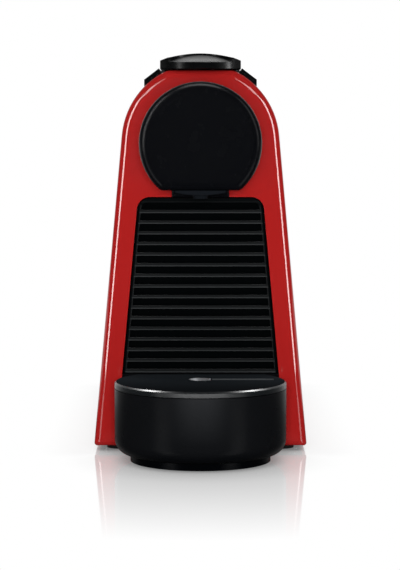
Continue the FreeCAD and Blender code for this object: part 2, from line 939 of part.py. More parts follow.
def make_bay():
    """Liner round the container, open at the front and at the capsule chute, and the bulkhead behind it."""
    outer = prism("liner_outer", opening("(fit_gap + liner_wall)"), "inside", "bulkhead")
    inner = prism("liner_inner", opening("fit_gap"), "inside - overcut", "bulkhead + overcut")
    round_edges(outer, "opening_corner + fit_gap + liner_wall", top_edge(outer))
    round_edges(inner, "opening_corner + fit_gap", top_edge(inner))
    chute = block(
        "chute",
        ("-chute_half", "plate_face", "opening_top - overcut"),
        ("chute_half", "plate_face + chute_length", "liner_top + overcut"),
    )
    keep("bay_liner", cut("bay_liner", outer, inner, chute))
    wall = both_sides([
        (f"({flank('base_top', 'hood_fit')} - fit_gap)", "base_top"),
        (f"({flank('liner_top', 'hood_fit')} - fit_gap)", "liner_top"),
    ])
    keep("bay_bulkhead", prism("bay_bulkhead", wall, "bulkhead", "bulkhead_back"))


def make_container():
    """Ribbed front panel and the bin behind it."""
    slab = prism("panel_slab", opening("(0 - panel_gap)"), "panel_face", "panel_back")
    round_edges(slab, "opening_corner - panel_gap", top_edge(slab))
    field = opening("(0 - panel_gap - panel_edge)")
    inner = prism("panel_field", field, "panel_face - overcut", "panel_face + rib_depth")
    round_edges(inner, "opening_corner - panel_gap - panel_edge", top_edge(inner))
    grooves = []
    for number in range(int(value("(opening_top - rib_first) / rib_pitch"))):
        low = f"(rib_first + {number} * rib_pitch + rib_thick / 2)"
        grooves.append(block(
            f"groove_{number}",
            ("-foot_half", "panel_face - overcut", low),
            ("foot_half", "panel_face + rib_depth", f"{low} + rib_pitch - rib_thick"),
        ))
    channels = common("channels", group("grooves", grooves), inner)
    keep("container_front", cut("container_front", slab, channels))
    case = block("bin_case", ("-bin_half", "panel_back", "opening_foot"), ("bin_half", "bin_back", "bin_top"))
    room = block(
        "bin_room",
        ("bin_wall - bin_half", "panel_back + bin_wall", "opening_foot + bin_wall"),
        ("bin_half - bin_wall", "bin_back - bin_wall", "bin_top + overcut"),
    )
    keep("container_bin", cut("container_bin", case, room))


def front_half(name, back):
    """Space in front of a plane, as large as the tray."""
    low = ("-2 * tray_radius", "-depth", "-overcut")
    return block(name, low, ("2 * tray_radius", back, "2 * cover_height"))


def make_drip_tray():
    """Round bowl on a foot ring, flat at the back, and its cover with drain hole and channel."""
    bowl = turned("bowl_outer", [
        ("0", "ring_height"),
        ("ring_radius - ring_wall", "ring_height"), ("ring_radius - ring_wall", "0"),
        ("ring_radius", "0"), ("ring_radius", "ring_height"),
        ("tray_turn", "ring_height", "tray_curve"), ("tray_radius", "ring_height + tray_curve"),
        ("tray_radius", "tray_height"), ("0", "tray_height"),
    ], "tray_along")
    hollow = turned("bowl_inner", [
        ("0", "ring_height + tray_wall"),
        ("tray_turn", "ring_height + tray_wall", "tray_curve - tray_wall"),
        ("tray_radius - tray_wall", "ring_height + tray_curve"),
        ("tray_radius - tray_wall", "tray_height + overcut"), ("0", "tray_height + overcut"),
    ], "tray_along")
    solid = common("bowl_solid", bowl, front_half("bowl_front", "tray_back"))
    room = common("bowl_room", hollow, front_half("room_front", "tray_back - tray_wall"))
    keep("drip_tray", cut("drip_tray", solid, room))
    make_tray_cover()


def make_tray_cover():
    """Flat cover with a rim, and the countersunk ring in its drain."""
    under = "(cover_height - cover_plate)"
    inner = "(tray_radius - tray_wall)"
    disc = turned("cover_disc", [
        ("0", under), (inner, under), (inner, "tray_height + fit_gap"),
        ("tray_radius", "tray_height + fit_gap"), ("tray_radius", "cover_height - cover_bevel"),
        ("tray_radius - cover_bevel", "cover_height"), ("0", "cover_height"),
    ], "tray_along")
    solid = common("cover_solid", disc, front_half("cover_front", "tray_back"))
    through = "cover_height - tray_height + overcut"
    drain = rod("drain", "Z", ("0", "drain_along", "tray_height"), through, "drain_radius")
    keep("drip_tray_cover", cut("drip_tray_cover", solid, drain, drain_channel("cover")))
    outer = "(drain_radius - pin_gap)"
    ring = turned("drain_insert", [
        ("drain_bore", under), (outer, under), (outer, "cover_height"),
        (f"{outer} - drain_rim", "cover_height"), ("drain_bore", "cover_height - drain_sink"),
    ], "drain_along")
    keep("drain_ring", cut("drain_ring", ring, drain_channel("ring")))


def drain_channel(name):
    """Shallow channel from the drain towards the right."""
    return block(
        f"{name}_channel",
        ("0", "drain_along - channel_width / 2", "cover_height - channel_depth"),
        ("channel_reach", "drain_along + channel_width / 2", "cover_height + overcut"),
    )


# Brew unit


def make_brew_frame():
    """Two side plates joined at both ends, with the hinge holes and the guide slots for the cage pin."""
    sides = []
    for side, sign in SIDES:
        low, high = span(sign, "frame_inner", "frame_half")
        foot = (low, "frame_face", "liner_top")
        sides.append(block(f"{side}_side", foot, (high, "frame_back", "frame_top")))
    front_low = ("-frame_inner", "frame_face", "liner_top")
    front = block("frame_nose", front_low, ("frame_inner", "plate_face", "frame_top - frame_front_drop"))
    rear_low = ("-frame_inner", "frame_back - frame_end", "liner_top")
    rear = block("frame_rear", rear_low, ("frame_inner", "frame_back", "frame_back_top"))
    hinge_start = ("-frame_half - overcut", "hinge_along", "hinge_level")
    hinge = rod("hinge_hole", "X", hinge_start, "2 * frame_half + 2 * overcut", "hinge_radius + pin_gap")
    slot_half = "(cage_pin_radius + slot_gap)"
    guide = block(
        "guide",
        ("-frame_half - overcut", f"pin_along - {slot_half}", f"hinge_level - {slot_half}"),
        ("frame_half + overcut", f"pin_along + cage_travel + {slot_half}", f"hinge_level + {slot_half}"),
    )
    exit_start = ("0", "frame_face - overcut", "arch_height")
    exit_hole = rod("exit_hole", "Y", exit_start, "frame_front + 2 * overcut", "exit_radius")
    tube_start = ("0", "frame_back - frame_end - overcut", "arch_height")
    tube_hole = rod("tube_hole", "Y", tube_start, "frame_end + 2 * overcut", "tube_radius + pin_gap")
    solid = join("frame_solid", *sides, front, rear)
    keep("brew_frame", cut("brew_frame", solid, hinge, guide, exit_hole, tube_hole))
    pin_start = ("-frame_half", "hinge_along", "hinge_level")
    keep("lever_pin", rod("lever_pin", "X", pin_start, "2 * frame_half", "hinge_radius"))
    tip = ("0", "tube_tip", "arch_height")
    keep("injector_tube", tube("injector_tube", "Y", tip, "tube_end - tube_tip", "tube_radius", "tube_bore"))
    make_piercing_plate()


def ring_places(circle_radius, count):
    """Rules for places round a circle about the brew axis."""
    places = []
    for number in range(count):
        turn = f"{360 * number / count}"
        places.append((f"{circle_radius} * cos({turn})", f"arch_height + {circle_radius} * sin({turn})"))
    return places


def make_piercing_plate():
    """Steel disc with a ring of holes, against the front of the frame."""
    owner = doc.addObject("PartDesign::Body", "piercing_plate")
    disc = draw(owner, "XZ_Plane", "plate_face")
    circle(disc, 0, "arch_height", "plate_radius")
    pad(owner, disc, "plate_thick", backwards=True)
    holes = draw(owner, "XZ_Plane", "plate_face - overcut")
    for across, level in ring_places("plate_circle", PLATE_HOLES):
        circle(holes, across, level, "plate_hole")
    pocket(owner, holes, "plate_thick + 2 * overcut")
    keep("piercing_plate", owner)


def make_cage():
    """Cup that holds the capsule, with ears for its pin, a stem that slides on the injector, and needles."""
    cup = rod("cup", "Y", ("0", "cage_front", "arch_height"), "cage_length", "cage_radius")
    stem_start = ("0", "cage_back - cage_wall / 2", "arch_height")
    stem = rod("stem", "Y", stem_start, "stem_length + cage_wall / 2", "stem_radius")
    ears = []
    for side, sign in SIDES:
        low, high = span(sign, "cage_radius - ear_width", "cage_radius")
        foot = (low, "pin_along - ear_half", "arch_height")
        ears.append(block(f"{side}_ear", foot, (high, "pin_along + ear_half", "hinge_level + ear_half")))
    mouth = ("0", "cage_front - overcut", "arch_height")
    room = rod("cup_room", "Y", mouth, "cage_length - cage_wall + overcut", "cage_bore")
    bore = rod("stem_bore", "Y", mouth, "cage_length + stem_length + 2 * overcut", "tube_radius + pin_gap")
    hole_start = ("-cage_radius - overcut", "pin_along", "hinge_level")
    hole_length = "2 * cage_radius + 2 * overcut"
    pin_hole = rod("cage_pin_hole", "X", hole_start, hole_length, "cage_pin_radius + pin_gap")
    keep("capsule_cage", cut("capsule_cage", join("cage_solid", cup, stem, *ears), room, bore, pin_hole))
    pin_start = ("-frame_half", "pin_along", "hinge_level")
    keep("cage_pin", rod("cage_pin", "X", pin_start, "2 * frame_half", "cage_pin_radius"))
    needles = []
    for number, (across, level) in enumerate(ring_places("needle_circle", NEEDLES)):
        tip = (across, "cage_back - cage_wall - needle_length", level)
        needles.append(rod(f"needle_{number}", "Y", tip, "needle_length", "needle_radius"))
    keep("cage_needles", group("cage_needles", needles))


def cam_point(turn, outward=0):
    """Point of the spiral at a lever angle in degrees. Its reach falls evenly, so the cage follows evenly."""
    reach = value("cam_reach") - value("cage_travel") * turn / LEVER_ANGLE
    angle = math.radians(turn)
    across = value("hinge_along") - (reach + outward) * math.cos(angle)
    return Vector(0, across, value("hinge_level") - (reach + outward) * math.sin(angle))


def cam_heading(turn):
    """Direction of the spiral at a lever angle."""
    return (cam_point(turn + SAME) - cam_point(turn - SAME)).normalize()


def cam_side(turns, distance):
    """Curve beside the spiral at a distance along its normals."""
    points = []
    for turn in turns:
        heading = cam_heading(turn)
        normal = Vector(0, heading.z, -heading.y)
        points.append(cam_point(turn) + normal * distance)
    curve = Part.BSplineCurve()
    curve.interpolate(points)
    return curve.toShape(), points[0], points[-1]


def steps(first, last, count):
    """Evenly spaced values from first to last."""
    return [first + (last - first) * index / count for index in range(count + 1)]


def cam_slot():
    """Flat face of the slot that the cage pin rides in, with round ends."""
    turns = steps(-SLOT_SPARE_ANGLE, LEVER_ANGLE + SLOT_SPARE_ANGLE, CAM_STEPS)
    half = value("cage_pin_radius + slot_gap")
    upper, upper_start, upper_end = cam_side(turns, half)
    lower, lower_start, lower_end = cam_side(turns, -half)
    first = cam_point(turns[0]) - cam_heading(turns[0]) * half
    last = cam_point(turns[-1]) + cam_heading(turns[-1]) * half
    start_end = Part.Arc(upper_start, first, lower_start).toShape()
    far_end = Part.Arc(upper_end, last, lower_end).toShape()
    return Part.Face(Part.Wire(Part.__sortEdges__([upper, lower, start_end, far_end])))


def cam_face():
    """Flat face of the whole cam plate, without its slot and pin hole."""
    rim = value("cam_rim")
    hub = value("cam_hub")
    along = value("hinge_along")
    level = value("hinge_level")
    top = value("lever_foot")
    turns = steps(0, LEVER_ANGLE + CAM_SPARE_ANGLE, CAM_STEPS)
    curve = Part.BSplineCurve()
    curve.interpolate([cam_point(turn, rim) for turn in turns])
    first = cam_point(0, rim)
    last = cam_point(turns[-1], rim)
    corners = [
        last,
        Vector(0, along + hub / 2, last.z),
        Vector(0, along + hub, level - hub),
        Vector(0, along + hub, top),
        Vector(0, first.y, top),
        first,
    ]
    edges = [Part.LineSegment(one, other).toShape() for one, other in zip(corners, corners[1:])]
    return Part.Face(Part.Wire(Part.__sortEdges__(edges + [curve.toShape()])))


def make_cam(side, sign):
    """Cam plate on one side of the lever."""
    thing = doc.addObject("Part::Feature", f"{side}_cam_plate")
    plate = cam_face().extrude(Vector(value("cam_thick"), 0, 0))
    over = value("overcut")
    through = value("cam_thick + 2 * overcut")
    slot = cam_slot()
    slot.translate(Vector(-over, 0, 0))
    centre = Vector(-over, value("hinge_along"), value("hinge_level"))
    hole = Part.makeCylinder(value("hinge_radius + pin_gap"), through, centre, Vector(1, 0, 0))
    thing.Shape = plate.cut(slot.extrude(Vector(through, 0, 0))).cut(hole)
    low = span(sign, "cam_inner", "cam_outer")[0]
    thing.Placement = FreeCAD.Placement(Vector(value(low), 0, 0), FreeCAD.Rotation())
    keep(f"{side}_cam_plate", thing)


# Lever, shoulders and buttons


def make_lever():
    """Hollow handle with a round tip, an arched top and a finger dish that opens at the front."""
    rise = "(height - lever_side)"
    crown = f"((lever_half^2 + {rise}^2) / (2 * {rise}))"
    corners = [
        ("-lever_half", "lever_foot"), ("lever_half", "lever_foot"),
        ("lever_half", "lever_side", crown), ("-lever_half", "lever_side"),
    ]
    bar = prism("lever_bar", corners, "lever_front", "lever_back")
    middle = "(lever_front + tip_radius)"
    tip = rod("lever_tip", "Z", ("0", middle, "lever_foot"), "lever_height", "tip_radius")
    shank_end = ("lever_half", "lever_back", "height")
    shank = block("lever_shank", ("-lever_half", middle, "lever_foot"), shank_end)
    handle = common("lever_handle", bar, join("lever_plan", tip, shank))
    hollow = block(
        "lever_hollow",
        ("lever_wall - lever_half", "lever_front + grip_length", "lever_foot - overcut"),
        ("lever_half - lever_wall", "lever_back - lever_wall", "lever_side - lever_roof"),
    )
    start = ("-lever_half - overcut", "lever_front", "dish_floor + dish_radius")
    scoop = rod("lever_scoop", "X", start, "2 * (lever_half + overcut)", "dish_radius")
    back = ("0", "lever_front + dish_length - dish_half", "dish_floor - overcut")
    plan = rod("dish_plan", "Z", back, "lever_height + 2 * overcut", "dish_half")
    keep("lever", cut("lever", handle, hollow, common("lever_dish", scoop, plan)))


def shoulder(sign, raised):
    """Outline of one shoulder above the arch, raised by an amount."""
    low, high = span(sign, "(well_half + trim_gap)", "trim_outer")
    inner_level = f"(trim_inner + {raised})"
    outer_level = f"(trim_side + {raised})"
    levels = (outer_level, inner_level) if sign else (inner_level, outer_level)
    foot = "(trim_side - trim_depth)"
    return [(low, foot), (high, foot), (high, levels[1]), (low, levels[0])]


def make_top_trim():
    """Black shoulders on the arch, joined behind the lever well by a crowned cap."""
    start = "(front + trim_front)"
    end = "(back - trim_back)"
    wings = [prism(f"{side}_wing", shoulder(sign, 0), start, end) for side, sign in SIDES]
    rise = "(trim_crown - trim_inner)"
    crown = f"((well_half^2 + {rise}^2) / (2 * {rise}))"
    corners = [
        ("-well_half - trim_lap", "trim_side"), ("well_half + trim_lap", "trim_side"),
        ("well_half + trim_lap", "trim_inner - trim_lap"), ("well_half", "trim_inner", crown),
        ("-well_half", "trim_inner"), ("-well_half - trim_lap", "trim_inner - trim_lap"),
    ]
    rear = prism("trim_rear", corners, "well_back", end)
    around = arch("hood_lift", "(flat_height + pin_gap)", "(0 - pin_gap)")
    form = prism("arch_form", around, "front - overcut", "back + overcut")
    slots = [button_hole(f"{side}_trim", sign) for side, sign in SIDES]
    keep("top_trim", cut("top_trim", join("trim_solid", *wings, rear), form, *slots))


def make_button(side, sign):
    """Button that follows the slope of its shoulder, with a stem down to its switch."""
    low, high = span(sign, "button_inner", "button_outer")
    key = block(f"{side}_key", (low, "button_front", "button_foot"), (high, "button_back", "height"))
    raised = shoulder(sign, "button_proud")
    slope = prism(f"{side}_slope", raised, "button_front - overcut", "button_back + overcut")
    top = common(f"{side}_key_top", key, slope)
    stem_spot = (f"{sign}button_stem_across", "button_middle", "button_stem_foot")
    stem = rod(f"{side}_button_stem", "Z", stem_spot, "button_stem_length + button_skirt / 2", "button_stem")
    keep(f"{side}_button", join(f"{side}_button", top, stem))
    low, high = span(sign, "frame_half", "frame_half + switch_board_width")
    keep(f"{side}_switch_board", block(
        f"{side}_switch_board",
        (low, "button_front", "switch_foot - board_thick"),
        (high, "button_back", "switch_foot"),
    ))


def make_switches():
    """Push switches under the two buttons."""
    switches = []
    for side, sign in SIDES:
        across = f"({sign}button_stem_across)"
        case = block(
            f"{side}_switch_case",
            (f"{across} - switch_size / 2", "button_middle - switch_size / 2", "switch_foot"),
            (f"{across} + switch_size / 2", "button_middle + switch_size / 2", "switch_top"),
        )
        spot = (across, "button_middle", "switch_foot + switch_height / 2")
        length = "switch_height / 2 + switch_plunger"
        plunger = rod(f"{side}_switch_plunger", "Z", spot, length, "button_stem")
        switches.append(join(f"{side}_switch", case, plunger))
    keep("button_switches", group("button_switches", switches))


# Water tank


def make_tank():
    """Open-topped tank with the hood's outline, with two hinge lugs behind and an outlet in its floor."""
    owner = prism("tank_case", arch("tank_foot", "tank_top"), "tank_front", "tank_back")
    back = value("tank_back")
    low = value("tank_foot")
    high = value("tank_top")

    def rear_side(edge):
        flat = near(edge.BoundBox.ZMin, edge.BoundBox.ZMax)
        level = near(edge.BoundBox.ZMin, low) or near(edge.BoundBox.ZMin, high)
        return at_along(edge, back) and not (flat and level)

    round_edges(owner, "hood_edge", rear_side)
    room = draw(owner, "XZ_Plane", "tank_front + tank_wall")
    outline(room, arch("tank_inside", "(tank_top + overcut)", "tank_wall"))
    pocket(owner, room, "tank_back - tank_front - 2 * tank_wall")
    lugs = []
    holes = []
    for side, sign in SIDES:
        inner, outer = span(sign, "lug_inner", "lug_inner + lug_width")
        eye_start = (inner, "lid_axis", "lid_level")
        lugs.append(rod(f"{side}_lug_eye", "X", eye_start, "lug_width", "knuckle_radius"))
        web_low = (inner, "tank_back - tank_wall", "lid_level - lug_drop")
        lugs.append(block(f"{side}_lug_web", web_low, (outer, "lid_axis", "lid_level - lid_gap")))
        start = (f"{inner} - overcut", "lid_axis", "lid_level")
        length = "lug_width + 2 * overcut"
        holes.append(rod(f"{side}_lug_hole", "X", start, length, "lid_pin_radius + pin_gap"))
    outlet_foot = ("0", "valve_along", "tank_foot - overcut")
    outlet = rod("tank_outlet", "Z", outlet_foot, "tank_floor + 2 * overcut", "outlet_radius")
    keep("water_tank", cut("water_tank", join("tank_solid", owner, *lugs), outlet, *holes))
    pin_start = ("-lug_inner - lug_width", "lid_axis", "lid_level")
    keep("tank_lid_pin", rod("tank_lid_pin", "X", pin_start, "2 * (lug_inner + lug_width)", "lid_pin_radius"))
    make_lid()
    make_valve()


def make_lid():
    """Hollow cap that completes the arch over the tank, with a hinge knuckle behind."""
    shell = prism("lid_shell", cap("lid_foot", "flat_height"), "tank_front", "tank_back")
    back = value("tank_back")
    foot = value("lid_foot")
    round_edges(shell, "crown_corner", top_corner)
    round_edges(shell, "hood_edge", lambda edge: at_along(edge, back) and edge.BoundBox.ZMax > foot + SAME)
    room = draw(shell, "XZ_Plane", "tank_front + lid_wall")
    outline(room, cap("(lid_foot - overcut)", "(flat_height - lid_wall)", "lid_wall"))
    pocket(shell, room, "tank_back - tank_front - 2 * lid_wall")
    eye_start = ("-knuckle_half", "lid_axis", "lid_level")
    eye = rod("knuckle_eye", "X", eye_start, "2 * knuckle_half", "knuckle_radius")
    web_low = ("-knuckle_half", "tank_back - lid_wall", "lid_foot + lid_gap")
    web = block("knuckle_web", web_low, ("knuckle_half", "lid_axis", "lid_level + knuckle_radius - lid_gap"))
    hole_start = ("-knuckle_half - overcut", "lid_axis", "lid_level")
    hole = rod("knuckle_hole", "X", hole_start, "2 * knuckle_half + 2 * overcut", "lid_pin_radius + pin_gap")
    keep("tank_lid", cut("tank_lid", join("lid_solid", shell, eye, web), hole))


def make_valve():
    """Sprung valve in the tank's floor, its cage, and the spigot and seal that it stands over."""
    centre = ("0", "valve_along")
    case = rod("valve_case", "Z", (*centre, "tank_inside"), "valve_cage_height", "valve_cage_radius")
    room_height = "valve_cage_height - valve_cage_wall + overcut"
    room_radius = "valve_cage_radius - valve_cage_wall"
    room = rod("valve_room", "Z", (*centre, "tank_inside - overcut"), room_height, room_radius)
    guide_length = "valve_cage_height + overcut"
    guide = rod("valve_guide", "Z", (*centre, "tank_inside"), guide_length, "valve_stem + pin_gap")
    windows = []
    wide = "valve_cage_radius + overcut"
    narrow = "valve_cage_window / 2"
    for name, across, along in (("side", wide, narrow), ("end", narrow, wide)):
        windows.append(block(
            f"{name}_window",
            (f"-({across})", f"valve_along - ({along})", "tank_inside + valve_cage_wall"),
            (across, f"valve_along + {along}", "valve_cap - valve_cage_wall"),
        ))
    keep("valve_cage", cut("valve_cage", case, room, guide, *windows))
    disc = rod("valve_plate", "Z", (*centre, "valve_disc_foot"), "valve_disc", "valve_radius")
    stem_length = "valve_cage_top + valve_travel - valve_foot"
    stem = rod("valve_spindle", "Z", (*centre, "valve_foot"), stem_length, "valve_stem")
    keep("tank_valve", join("tank_valve", disc, stem))
    spring_spot = (*centre, "valve_disc_top")
    spring_length = "valve_cap - valve_disc_top"
    inner = "valve_spring_radius - valve_spring_wire"
    spring = tube("valve_spring", "Z", spring_spot, spring_length, "valve_spring_radius", inner)
    keep("valve_spring", spring)
    spot = (*centre, "spigot_foot")
    spigot = tube("inlet_spigot", "Z", spot, "spigot_top - spigot_foot", "spigot_radius", "spigot_bore")
    keep("inlet_spigot", spigot)
    seal_spot = (*centre, "spigot_top - seal_height")
    seal_bore = "spigot_radius + pin_gap"
    seal = tube("tank_seal", "Z", seal_spot, "seal_height", f"{seal_bore} + seal_wall", seal_bore)
    keep("tank_seal", seal)


# Water path and heating


def make_flow_meter():
    """Round meter on the base with a bladed rotor inside."""
    centre = ("0", "meter_along")
    case = rod("meter_case", "Z", (*centre, "base_top"), "meter_height", "meter_radius")
    floor = (*centre, "base_top + meter_floor")
    room = rod("meter_room", "Z", floor, "meter_height", "meter_radius - meter_wall")
    bearing = "rotor_shaft + pin_gap"
    low_hole = rod("meter_low_hole", "Z", (*centre, "base_top + meter_floor / 2"), "meter_floor", bearing)
    keep("flow_meter_body", cut("flow_meter_body", case, room, low_hole))
    roof = rod("meter_roof", "Z", (*centre, "meter_top"), "meter_cap", "meter_radius")
    high_foot = (*centre, "meter_top - overcut")
    high_hole = rod("meter_high_hole", "Z", high_foot, "meter_cap / 2 + overcut", bearing)
    keep("flow_meter_cap", cut("flow_meter_cap", roof, high_hole))
    low = "(base_top + meter_floor + rotor_gap)"
    high = "(meter_top - rotor_gap)"
    hub = rod("rotor_core", "Z", (*centre, low), f"{high} - {low}", "rotor_hub")
    shaft_foot = "(base_top + meter_floor / 2 + fit_gap)"
    shaft_end = "(meter_top + meter_cap / 2 - fit_gap)"
    shaft = rod("rotor_axle", "Z", (*centre, shaft_foot), f"{shaft_end} - {shaft_foot}", "rotor_shaft")
    blades = []
    thin = "rotor_blade / 2"
    for name, across, along in (("side", "rotor_radius", thin), ("end", thin, "rotor_radius")):
        foot = (f"-({across})", f"meter_along - ({along})", low)
        blades.append(block(f"{name}_blade", foot, (across, f"meter_along + {along}", high)))
    keep("flow_rotor", join("flow_rotor", hub, shaft, *blades))


def make_pump():
    """Vibration pump: barrel, coil, steel yoke, rubber mounts and the cradle on the base."""
    start = ("0", "pump_front", "pump_level")
    keep("pump_barrel", rod("pump_barrel", "Y", start, "pump_length", "barrel_radius"))
    bore = "barrel_radius + pin_gap"
    coil_start = ("0", "coil_front", "pump_level")
    keep("pump_coil", tube("pump_coil", "Y", coil_start, "coil_back - coil_front", "coil_radius", bore))
    ends = []
    high = "pump_level + yoke_half"
    for name, along in (("front", "coil_front - yoke_plate"), ("back", "coil_back")):
        foot = ("-yoke_half", along, "pump_level - yoke_half")
        ends.append(block(f"yoke_{name}", foot, ("yoke_half", f"{along} + yoke_plate", high)))
    bridge_low = ("-yoke_half", "coil_front - yoke_plate", high)
    bridge = block("yoke_top", bridge_low, ("yoke_half", "coil_back + yoke_plate", f"{high} + yoke_plate"))
    hole = rod("yoke_hole", "Y", start, "pump_length", bore)
    keep("pump_frame", cut("pump_frame", join("yoke", *ends, bridge), hole))
    mounts = []
    posts = []
    rear_mount = "pump_back - mount_inset - mount_length"
    for name, along in (("front", "pump_front + mount_inset"), ("back", rear_mount)):
        mount_start = ("0", along, "pump_level")
        mounts.append(tube(f"{name}_mount", "Y", mount_start, "mount_length", "mount_radius", bore))
        middle = f"({along} + mount_length / 2)"
        foot = ("-cradle_half", f"{middle} - cradle_thick / 2", "base_top")
        top = ("cradle_half", f"{middle} + cradle_thick / 2", "pump_level")
        posts.append(block(f"{name}_post", foot, top))
    keep("pump_mounts", group("pump_mounts", mounts))
    rest = rod("cradle_rest", "Y", start, "pump_length", "mount_radius + pin_gap")
    keep("pump_cradle", cut("pump_cradle", group("posts", posts), rest))


def make_thermoblock():
    """Heated block on spacers behind the bulkhead, with its thermostat and fuse on top."""
    low = ("-block_half", "block_front", "block_foot")
    keep("thermoblock", block("thermoblock", low, ("block_half", "block_back", "block_top")))
    spacers = []
    for side, sign in SIDES:
        for end, level in (("low", "block_foot + spacer_margin"), ("high", "block_top - spacer_margin")):
            spot = (f"{sign}spacer_across", "bulkhead_back", level)
            spacers.append(rod(f"{side}_{end}_spacer", "Y", spot, "spacer_length", "spacer_radius"))
    keep("thermoblock_spacers", group("thermoblock_spacers", spacers))
    middle = "(block_front + block_length / 2)"
    disc_spot = ("sensor_across", middle, "block_top")
    keep("thermostat", rod("thermostat", "Z", disc_spot, "thermostat_height", "thermostat_radius"))
    fuse_spot = ("-sensor_across", f"{middle} - fuse_length / 2", "block_top + fuse_radius")
    keep("thermal_fuse", rod("thermal_fuse", "Y", fuse_spot, "fuse_length", "fuse_radius"))


def make_board():
    """Control board on stand-offs before the rear panel, with its relay, capacitor and connector."""
    low = ("-board_half", "board_face", "board_foot")
    top = ("board_half", "board_back", "board_foot + board_height")
    keep("control_board", block("control_board", low, top))
    posts = []
    high = "board_foot + board_height - standoff_inset"
    for side, sign in SIDES:
        for end, level in (("low", "board_foot + standoff_inset"), ("high", high)):
            spot = (f"{sign}(board_half - standoff_inset)", "board_back", level)
            posts.append(rod(f"{side}_{end}_standoff", "Y", spot, "standoff_length", "standoff_radius"))
    keep("board_standoffs", group("board_standoffs", posts))
    middle = "(board_foot + board_height / 2)"
    relay_low = ("0", "board_face - relay_depth", middle)
    relay = block("relay", relay_low, ("relay_width", "board_face", f"{middle} + relay_height"))
    can_start = ("-board_half / 2", "board_face - capacitor_length", middle)
    capacitor = rod("capacitor", "Y", can_start, "capacitor_length", "capacitor_radius")
    connector = block(
        "connector",
        ("-connector_width / 2", "board_face - connector_depth", "board_foot + standoff_inset"),
        ("connector_width / 2", "board_face", "board_foot + standoff_inset + connector_height"),
    )
    keep("board_parts", group("board_parts", [relay, capacitor, connector]))


def hose(name, corners):
    """Hose through points, with arcs as large as its runs allow."""
    points = [Vector(*(value(rule) for rule in corner)) for corner in corners]
    edges = []
    start = points[0]
    for before, corner, after in zip(points, points[1:], points[2:]):
        toward = (before - corner).normalize()
        away = (after - corner).normalize()
        turn = math.pi - toward.getAngle(away)
        setback = HOSE_TURN * min((before - corner).Length, (after - corner).Length)
        radius = setback / math.tan(turn / 2)
        inward = (toward + away).normalize()
        middle = corner + inward * (math.hypot(setback, radius) - radius)
        edges.append(Part.LineSegment(start, corner + toward * setback).toShape())
        edges.append(Part.Arc(corner + toward * setback, middle, corner + away * setback).toShape())
        start = corner + away * setback
        print(f"{name}: bend radius {radius:.1f} mm")
    edges.append(Part.LineSegment(start, points[-1]).toShape())
    path = Part.Wire(edges)
    heading = points[1] - points[0]
    solids = []
    for radius in (value("hose_radius"), value("hose_bore")):
        ring = Part.Wire(Part.makeCircle(radius, points[0], heading))
        solids.append(path.makePipeShell([ring], True, False))
    thing = doc.addObject("Part::Feature", name)
    thing.Shape = solids[0].cut(solids[1])
    keep(name, thing)


def make_hoses():
    """Water path from the tank to the injector."""
    meter_back = "(meter_along + meter_radius)"
    start = ("0", meter_back, "hose_level")
    length = f"valve_along - spigot_radius - {meter_back}"
    keep("tank_hose", tube("tank_hose", "Y", start, length, "hose_radius", "hose_bore"))
    hose("suction_hose", [
        ("0", "suction_along", "meter_roof"),
        ("0", "suction_along", "pump_level"),
        ("0", "pump_back", "pump_level"),
    ])
    hose("pressure_hose", [
        ("0", "pump_front", "pump_level"),
        ("0", "pressure_along", "pump_level"),
        ("0", "pressure_along", "block_foot"),
    ])
    hose("brew_hose", [
        ("0", "brew_hose_along", "block_top"),
        ("0", "brew_hose_along", "arch_height"),
        ("0", "tube_end", "arch_height"),
    ])


# The whole machine


def main():
    make_body_shell()
    make_base()
    make_head()
    make_bay()
    make_container()
    make_drip_tray()
    make_brew_frame()
    make_cage()
    mirrored_pair(make_cam)
    make_lever()
    make_top_trim()
    mirrored_pair(make_button)
    make_switches()
    make_tank()
    make_flow_meter()
    make_pump()
    make_thermoblock()
    make_board()
    make_hoses()
    doc.recompute()
    check()
    os.makedirs("parts", exist_ok=True)
    for name, thing in nodes.items():
        thing.Shape.exportStep(f"parts/{name}.step")
    print(len(nodes), "pieces written")


def check():
    """Stop on any failed object or bad shape."""
    for thing in doc.Objects:
        if "Invalid" in thing.State or "Error" in thing.State:
            raise RuntimeError(f"{thing.Name} failed: {thing.State}")
    for name, thing in nodes.items():
        if thing.Shape.isNull() or not thing.Shape.isValid() or not thing.Shape.Solids:
            raise RuntimeError(f"{name} has no valid solid")


main()
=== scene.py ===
"""Looks of a pod coffee machine: finishes, a wound valve spring, floor, lamps and camera."""
import math

import bpy
from mathutils import Matrix, Vector


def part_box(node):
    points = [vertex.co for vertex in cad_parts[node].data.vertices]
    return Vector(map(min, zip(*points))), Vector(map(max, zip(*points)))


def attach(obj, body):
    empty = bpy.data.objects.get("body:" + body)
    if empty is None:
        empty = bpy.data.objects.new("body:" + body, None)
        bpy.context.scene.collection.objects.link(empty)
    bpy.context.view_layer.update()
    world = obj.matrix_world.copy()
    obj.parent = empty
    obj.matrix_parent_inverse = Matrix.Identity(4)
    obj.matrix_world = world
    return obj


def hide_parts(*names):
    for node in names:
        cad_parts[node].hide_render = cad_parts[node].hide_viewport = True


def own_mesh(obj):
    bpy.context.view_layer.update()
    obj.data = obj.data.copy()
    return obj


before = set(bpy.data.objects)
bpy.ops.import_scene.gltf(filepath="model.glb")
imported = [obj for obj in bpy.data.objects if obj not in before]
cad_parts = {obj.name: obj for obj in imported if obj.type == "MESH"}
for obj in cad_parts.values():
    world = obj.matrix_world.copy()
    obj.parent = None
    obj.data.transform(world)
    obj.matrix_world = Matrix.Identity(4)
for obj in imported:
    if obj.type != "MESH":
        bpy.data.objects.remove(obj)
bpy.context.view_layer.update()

MM = 0.001
SIDES = (-1, 1)
WHITE = (1, 1, 1, 1)

